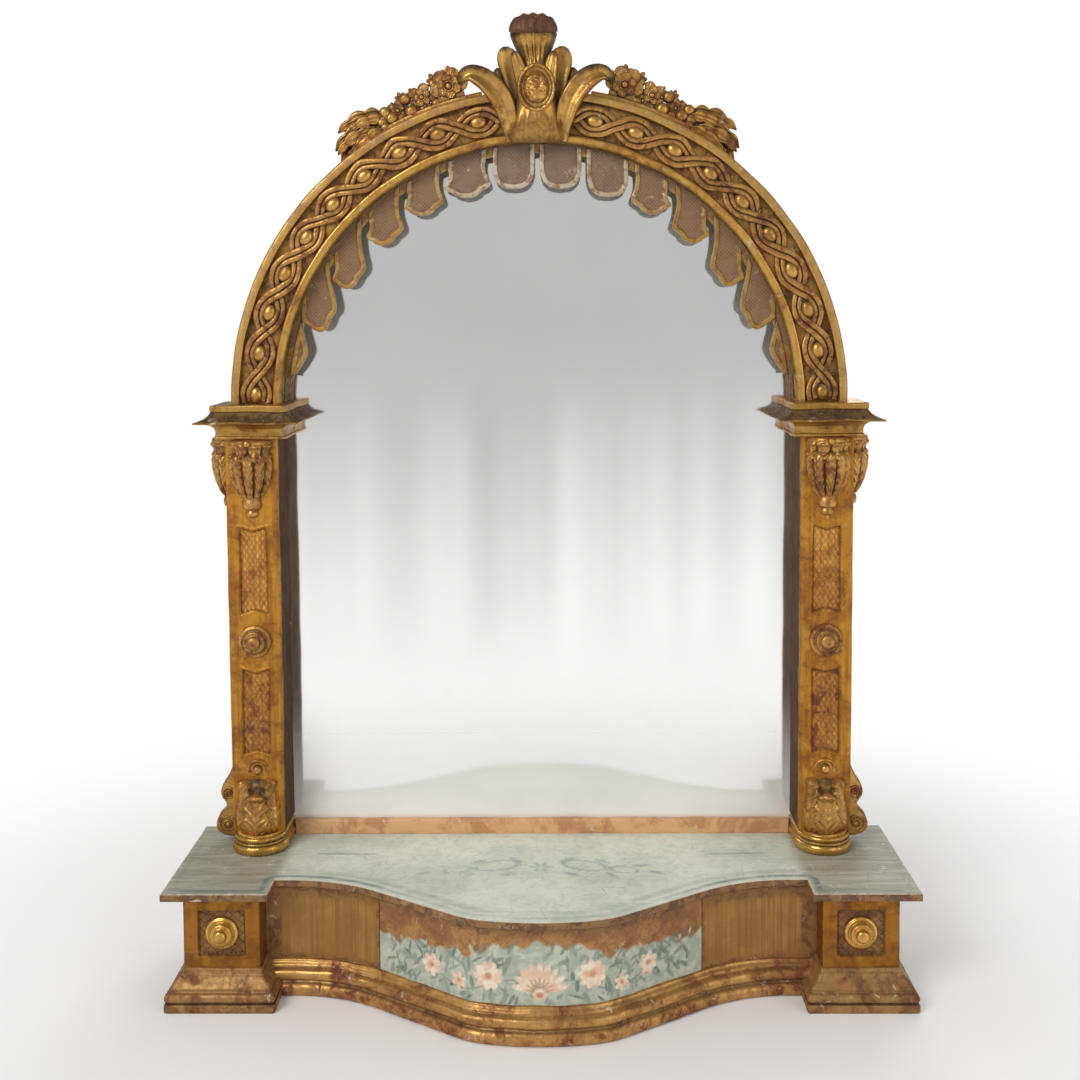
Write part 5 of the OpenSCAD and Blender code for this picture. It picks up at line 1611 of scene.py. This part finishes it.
def crest_body():
    """Flat-backed loft from the foot to the flared rim of the bell, with flutes below and veins above. Rows
    of BELL are [part of the height t, half width, depth]."""
    t, half, deep = flow(BELL, 150).T[:, :, None]
    u = np.linspace(-1, 1, 81)[None]
    flutes = 2.1 * (0.5 - 0.5 * np.cos(u * 6 * np.pi)) * ease(t, 0.34, 0.12) * (1 - u**6)
    veins = (1.5 * hump(u, 0.09) + 0.7 * np.cos(u * 7 * np.pi) * (1 - u**2)) * ease(t, 0.66, 0.8)
    scoop = 3.2 * hump(t - 0.79, 0.07) * (1 - u**2)
    front = deep * np.sqrt(np.clip(1 - u**2, 0, 1)) - flutes + veins - scoop
    points = join(half * u, CREST_BACK - np.maximum(front, 0.0), CREST_FOOT + (CAP_Z + 0.5 - CREST_FOOT) * t)
    # Darker towards the foot, painted shadow along the top of the bell under the cap, and painted shade on the bell's
    # sides.
    soil = 0.35 * ease(t, 0.3, 0.1) + ease(t, 0.93, 1.0) + ease(np.abs(u), 0.7, 0.95) * ease(t, 0.66, 0.76)
    return bar(points, soil=soil, bole=0.3 * ease(t, 0.4, 0.1))


def crest_leaves(side):
    """A volute, the two lobes of a small leaf and a lower lobe on one side. Their tips and the upper edge
    of the volute are rubbed to the clay and darkened with painted shade."""
    volute, outer, inner, lower = (
        np.array(rows) + (0, CREST_FOOT, 0, 0, 0) for rows in (VOLUTE, OUTER_LOBE, INNER_LOBE, LOWER_LOBE)
    )
    parts = [
        blade(volute, CREST_BACK - 8, 0.72, 0, 0, side, 110, 48, back=0.6),
        blade(outer, CREST_BACK - 7, 0.85, 0, 1.6, side, depth=0.2), blade(inner, CREST_BACK - 9, 0.5, 2, 0, side),
        blade(lower, CREST_BACK - 4, 0.45, 2, 1.4, side)
    ]
    for part, upper in zip(parts, (1, 0, 0, 0)):
        rows, cols = part["points"].shape[:2]
        t, u = np.linspace(0, 1, rows)[:, None], np.cos(circle(cols))[None]
        # Painted shade on the tips and the volute's upper edge, over clay showing through.
        tip = np.maximum(ease(t, 0.72, 0.96), upper * ease(t, 0.35, 0.6) * ease(u, 0.2, 0.8))
        part["marks"].update(soil=1.35 * tip, bole=0.9 * tip)
    return parts


def leaning(sheets):
    """The carver's crest leans 3 mm to the left towards the top."""
    for part in sheets:
        part["points"][..., 0] -= 3.0 * ease(part["points"][..., 2], 1050, 1120)
    return sheets


crest = leaning([crest_body()] + crest_leaves(1) + crest_leaves(-1))
put("crest_leaf", crest, CREST_GILT, 50)


# %% Curled tip and medallion
RING_AND_BOSS = soft([
    [0, -1], [1, -1], [1.01, 1.5], [0.99, 4.8], [0.93, 6.4], [0.86, 6.2], [0.80, 4.2], [0.72, 3.2], [0.66, 3.6],
    [0.63, 5.6], [0.54, 8], [0.34, 9.6], [0, 10.4]
], 0.6, 3)


def crest_cap():
    """A half dome with five ribs that rolls over forwards: its front edge hangs below the bell's rim."""
    u = np.linspace(-1, 1, 121)[:, None]
    a = np.radians(np.linspace(-14, 208, 64))[None]
    shape = np.sqrt(np.clip(1 - 0.95 * np.abs(u) ** 2.8, 0, 1))
    ribs = 1 - 0.085 * (0.5 - 0.5 * np.cos(5 * np.pi * u)) - 0.02 * (0.5 - 0.5 * np.cos(17 * np.pi * u))
    size = shape * ribs * (1 - 0.02 * (a > np.pi))
    z = CAP_Z + np.where(np.sin(a) > 0, 21.6, 9.0) * size * np.sin(a)
    z = np.where((np.sin(a) < 0) & (np.cos(a) > 0), CAP_Z, z)
    return [bar(join(28.3 * u, CREST_BACK - 15.2 * (1 - size * np.cos(a)), z))]


def cabochon():
    """An oval ring, a groove and a raised oval boss with an uneven, worn relief."""
    rho, h = fill(RING_AND_BOSS * (20, 1), 0.8).T[:, :, None]
    rho = rho / 20
    a = circle(90)[None]
    x, z = 22.4 * rho * np.cos(a), 28.3 * rho * np.sin(a)
    worn = 0.9 * wobble(join(x, 0, z), 8.0, 5) * (rho < 0.6)
    worn = worn + 0.35 * np.cos(18 * a) * hump(rho - 0.93, 0.05)
    return [bar(join(x, 52.9 - h - worn, 1055 + z))]


put("crest_cap", leaning(crest_cap()), CAP_GILT, 50)
put("crest_cabochon", cabochon(), CARVED_GILT, 50)

# %% [markdown]
# ## Carving: garlands
# On either side a stem lies on the arch. It carries a rose with two rings of petals, a second small
# flower, a cluster of berries, and at its end three overlapping leaves.


# %% Garlands
STEM = soft([[369.6, 34], [375, 34], [376, 38], [376, 54], [375, 58], [369.6, 58]], 1.5, 3, closed=True)
POINTED_LEAF = np.array([
    [0, 0, 3, 4, 0], [5, 1, 6.5, 7, 0.5], [16, 2, 9.5, 8.5, 1], [30, 2.5, 10, 9, 2], [45, 1, 8, 7, 3],
    [58, -3, 5, 5, 3], [68, -8, 1.2, 2, 1]
])
BERRIES = (
    (66.8, 8, 8.6), (66.6, 25, 7.4), (64.8, 5, 7.6), (63.0, 11, 8.6), (62.4, 21, 7.6), (61.2, 12, 8.0),
    (71.6, 6, 7.6), (69.0, 5, 7.0), (61.2, 4.5, 6.6), (72.0, 30, 5.6)
)
BUDS = (
    (74.8, 30, 84, 16, 93), (76.0, 26, 118, 12, 94), (72.6, 30, 50, 14, 93), (70.2, 24, 70, 12, 94),
    (68.2, 24, 56, 12, 94), (72.4, 8, 20, 12, 95), (66.0, 26, 60, 11, 94), (64.4, 20, 50, 10, 94)
)
END_LEAVES = (
    (61.8, 5, -30, 1.06, 0), (61.8, 13, -24, 1.02, 4), (62.0, 22, -16, 0.86, 1), (59.6, 9, -27, 0.80, 10),
    (60.6, 3, -33, 0.72, 13), (61.6, 17, -19, 0.66, 9)
)


def on_arch(angle, up):
    """[x, z] at that angle round the arch, up mm above its outer edge."""
    return np.array(rotate(ARCH_OUT + up, 0, angle)) + (0, ARCH_Z)


def flower(angle, up, y, size, petals=6):
    """Two rings of petals round a button that stands in a small ring, facing the front."""
    x, z = on_arch(angle, up)
    parts = []
    for place, first, reach, shape, cup in (
        (y, 30, 0.58, (0.44, 0.40, 0.15), 0.12), (y - size * 0.16, 0, 0.36, (0.27, 0.25, 0.11), 0.10)
    ):
        for k in range(petals):
            turn = angle + 360 * k / petals + first
            parts.append(petal((x, place, z), turn, size * reach, np.multiply(size, shape), size * cup))
    a, r = np.linspace(0, 2 * np.pi, 25), size * 0.24
    ring = join(x + r * np.cos(a), z + r * np.sin(a), size * 0.06, size * 0.09, 0)
    parts.append(blade(ring, y - size * 0.26, count=60, around=10, back=1.0))
    return parts + [berry((x, y - size * 0.30, z), size * 0.17), berry((x, y + size * 0.22, z), size * 0.55, 0.5)]


def bud(angle, up, turn, long, y):
    """A short rounded bud with three lobes, pointing at turn degrees."""
    x, z = on_arch(angle, up)
    size = (long * 0.42, long * 0.24, long * 0.17)
    ways = ((turn, 0.62), (turn + 34, 0.5), (turn - 34, 0.5))
    return [petal((x, y, z), way, long * reach, size, long * 0.05, 2) for way, reach in ways]


def leaf_at(angle, up, turn, scale, y, lift):
    """A pointed leaf 68 mm long times scale that starts on the arch and points at turn degrees."""
    path = POINTED_LEAF * scale
    path[:, :2] = np.transpose(rotate(path[:, 0], path[:, 1], turn)) + on_arch(angle, up)
    path[:, 4] += lift
    return blade(path, y, 0.55, 3, 3.5, depth=0.5)


def garland():
    """The right-hand garland, from the rose down to the leaves."""
    parts = [bar(round_arch(STEM, 53, 80))]
    parts += flower(74.5, 20.4, 86, 23) + flower(69.4, 19, 88, 17, 5) + flower(64.6, 16, 90, 14, 5)
    for angle, up, radius in BERRIES:
        x, z = on_arch(angle, up)
        parts.append(berry((x, 90 - (up % 5), z), radius))
    for place in BUDS:
        parts += bud(*place)
    return parts + [leaf_at(*place, 93, lift) for *place, lift in END_LEAVES]


both("garland", garland, CARVED_GILT, 50)

# %% [markdown]
# ## Construction that shows as it is
# The boards and dowels are plain parts, so the CAD nodes themselves are kept and only given a finish.

# %% Finishes of the kept CAD nodes
kept = {
    PINE_UP: [
        "backboard_left", "backboard_center", "backboard_right", "pilaster_dowels", "capital_dowels",
        "plinth_glue_blocks", "glass_blocks"
    ],
    PINE_ALONG: ["plinth_back_board", "plinth_bottom_board", "crest_dowels"], SILVERING: ["mirror_plate"],
    IRON: ["backboard_brads"]
}
for material, names in kept.items():
    for name in names:
        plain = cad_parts[name]
        plain.data.materials.clear()
        plain.data.materials.append(material)
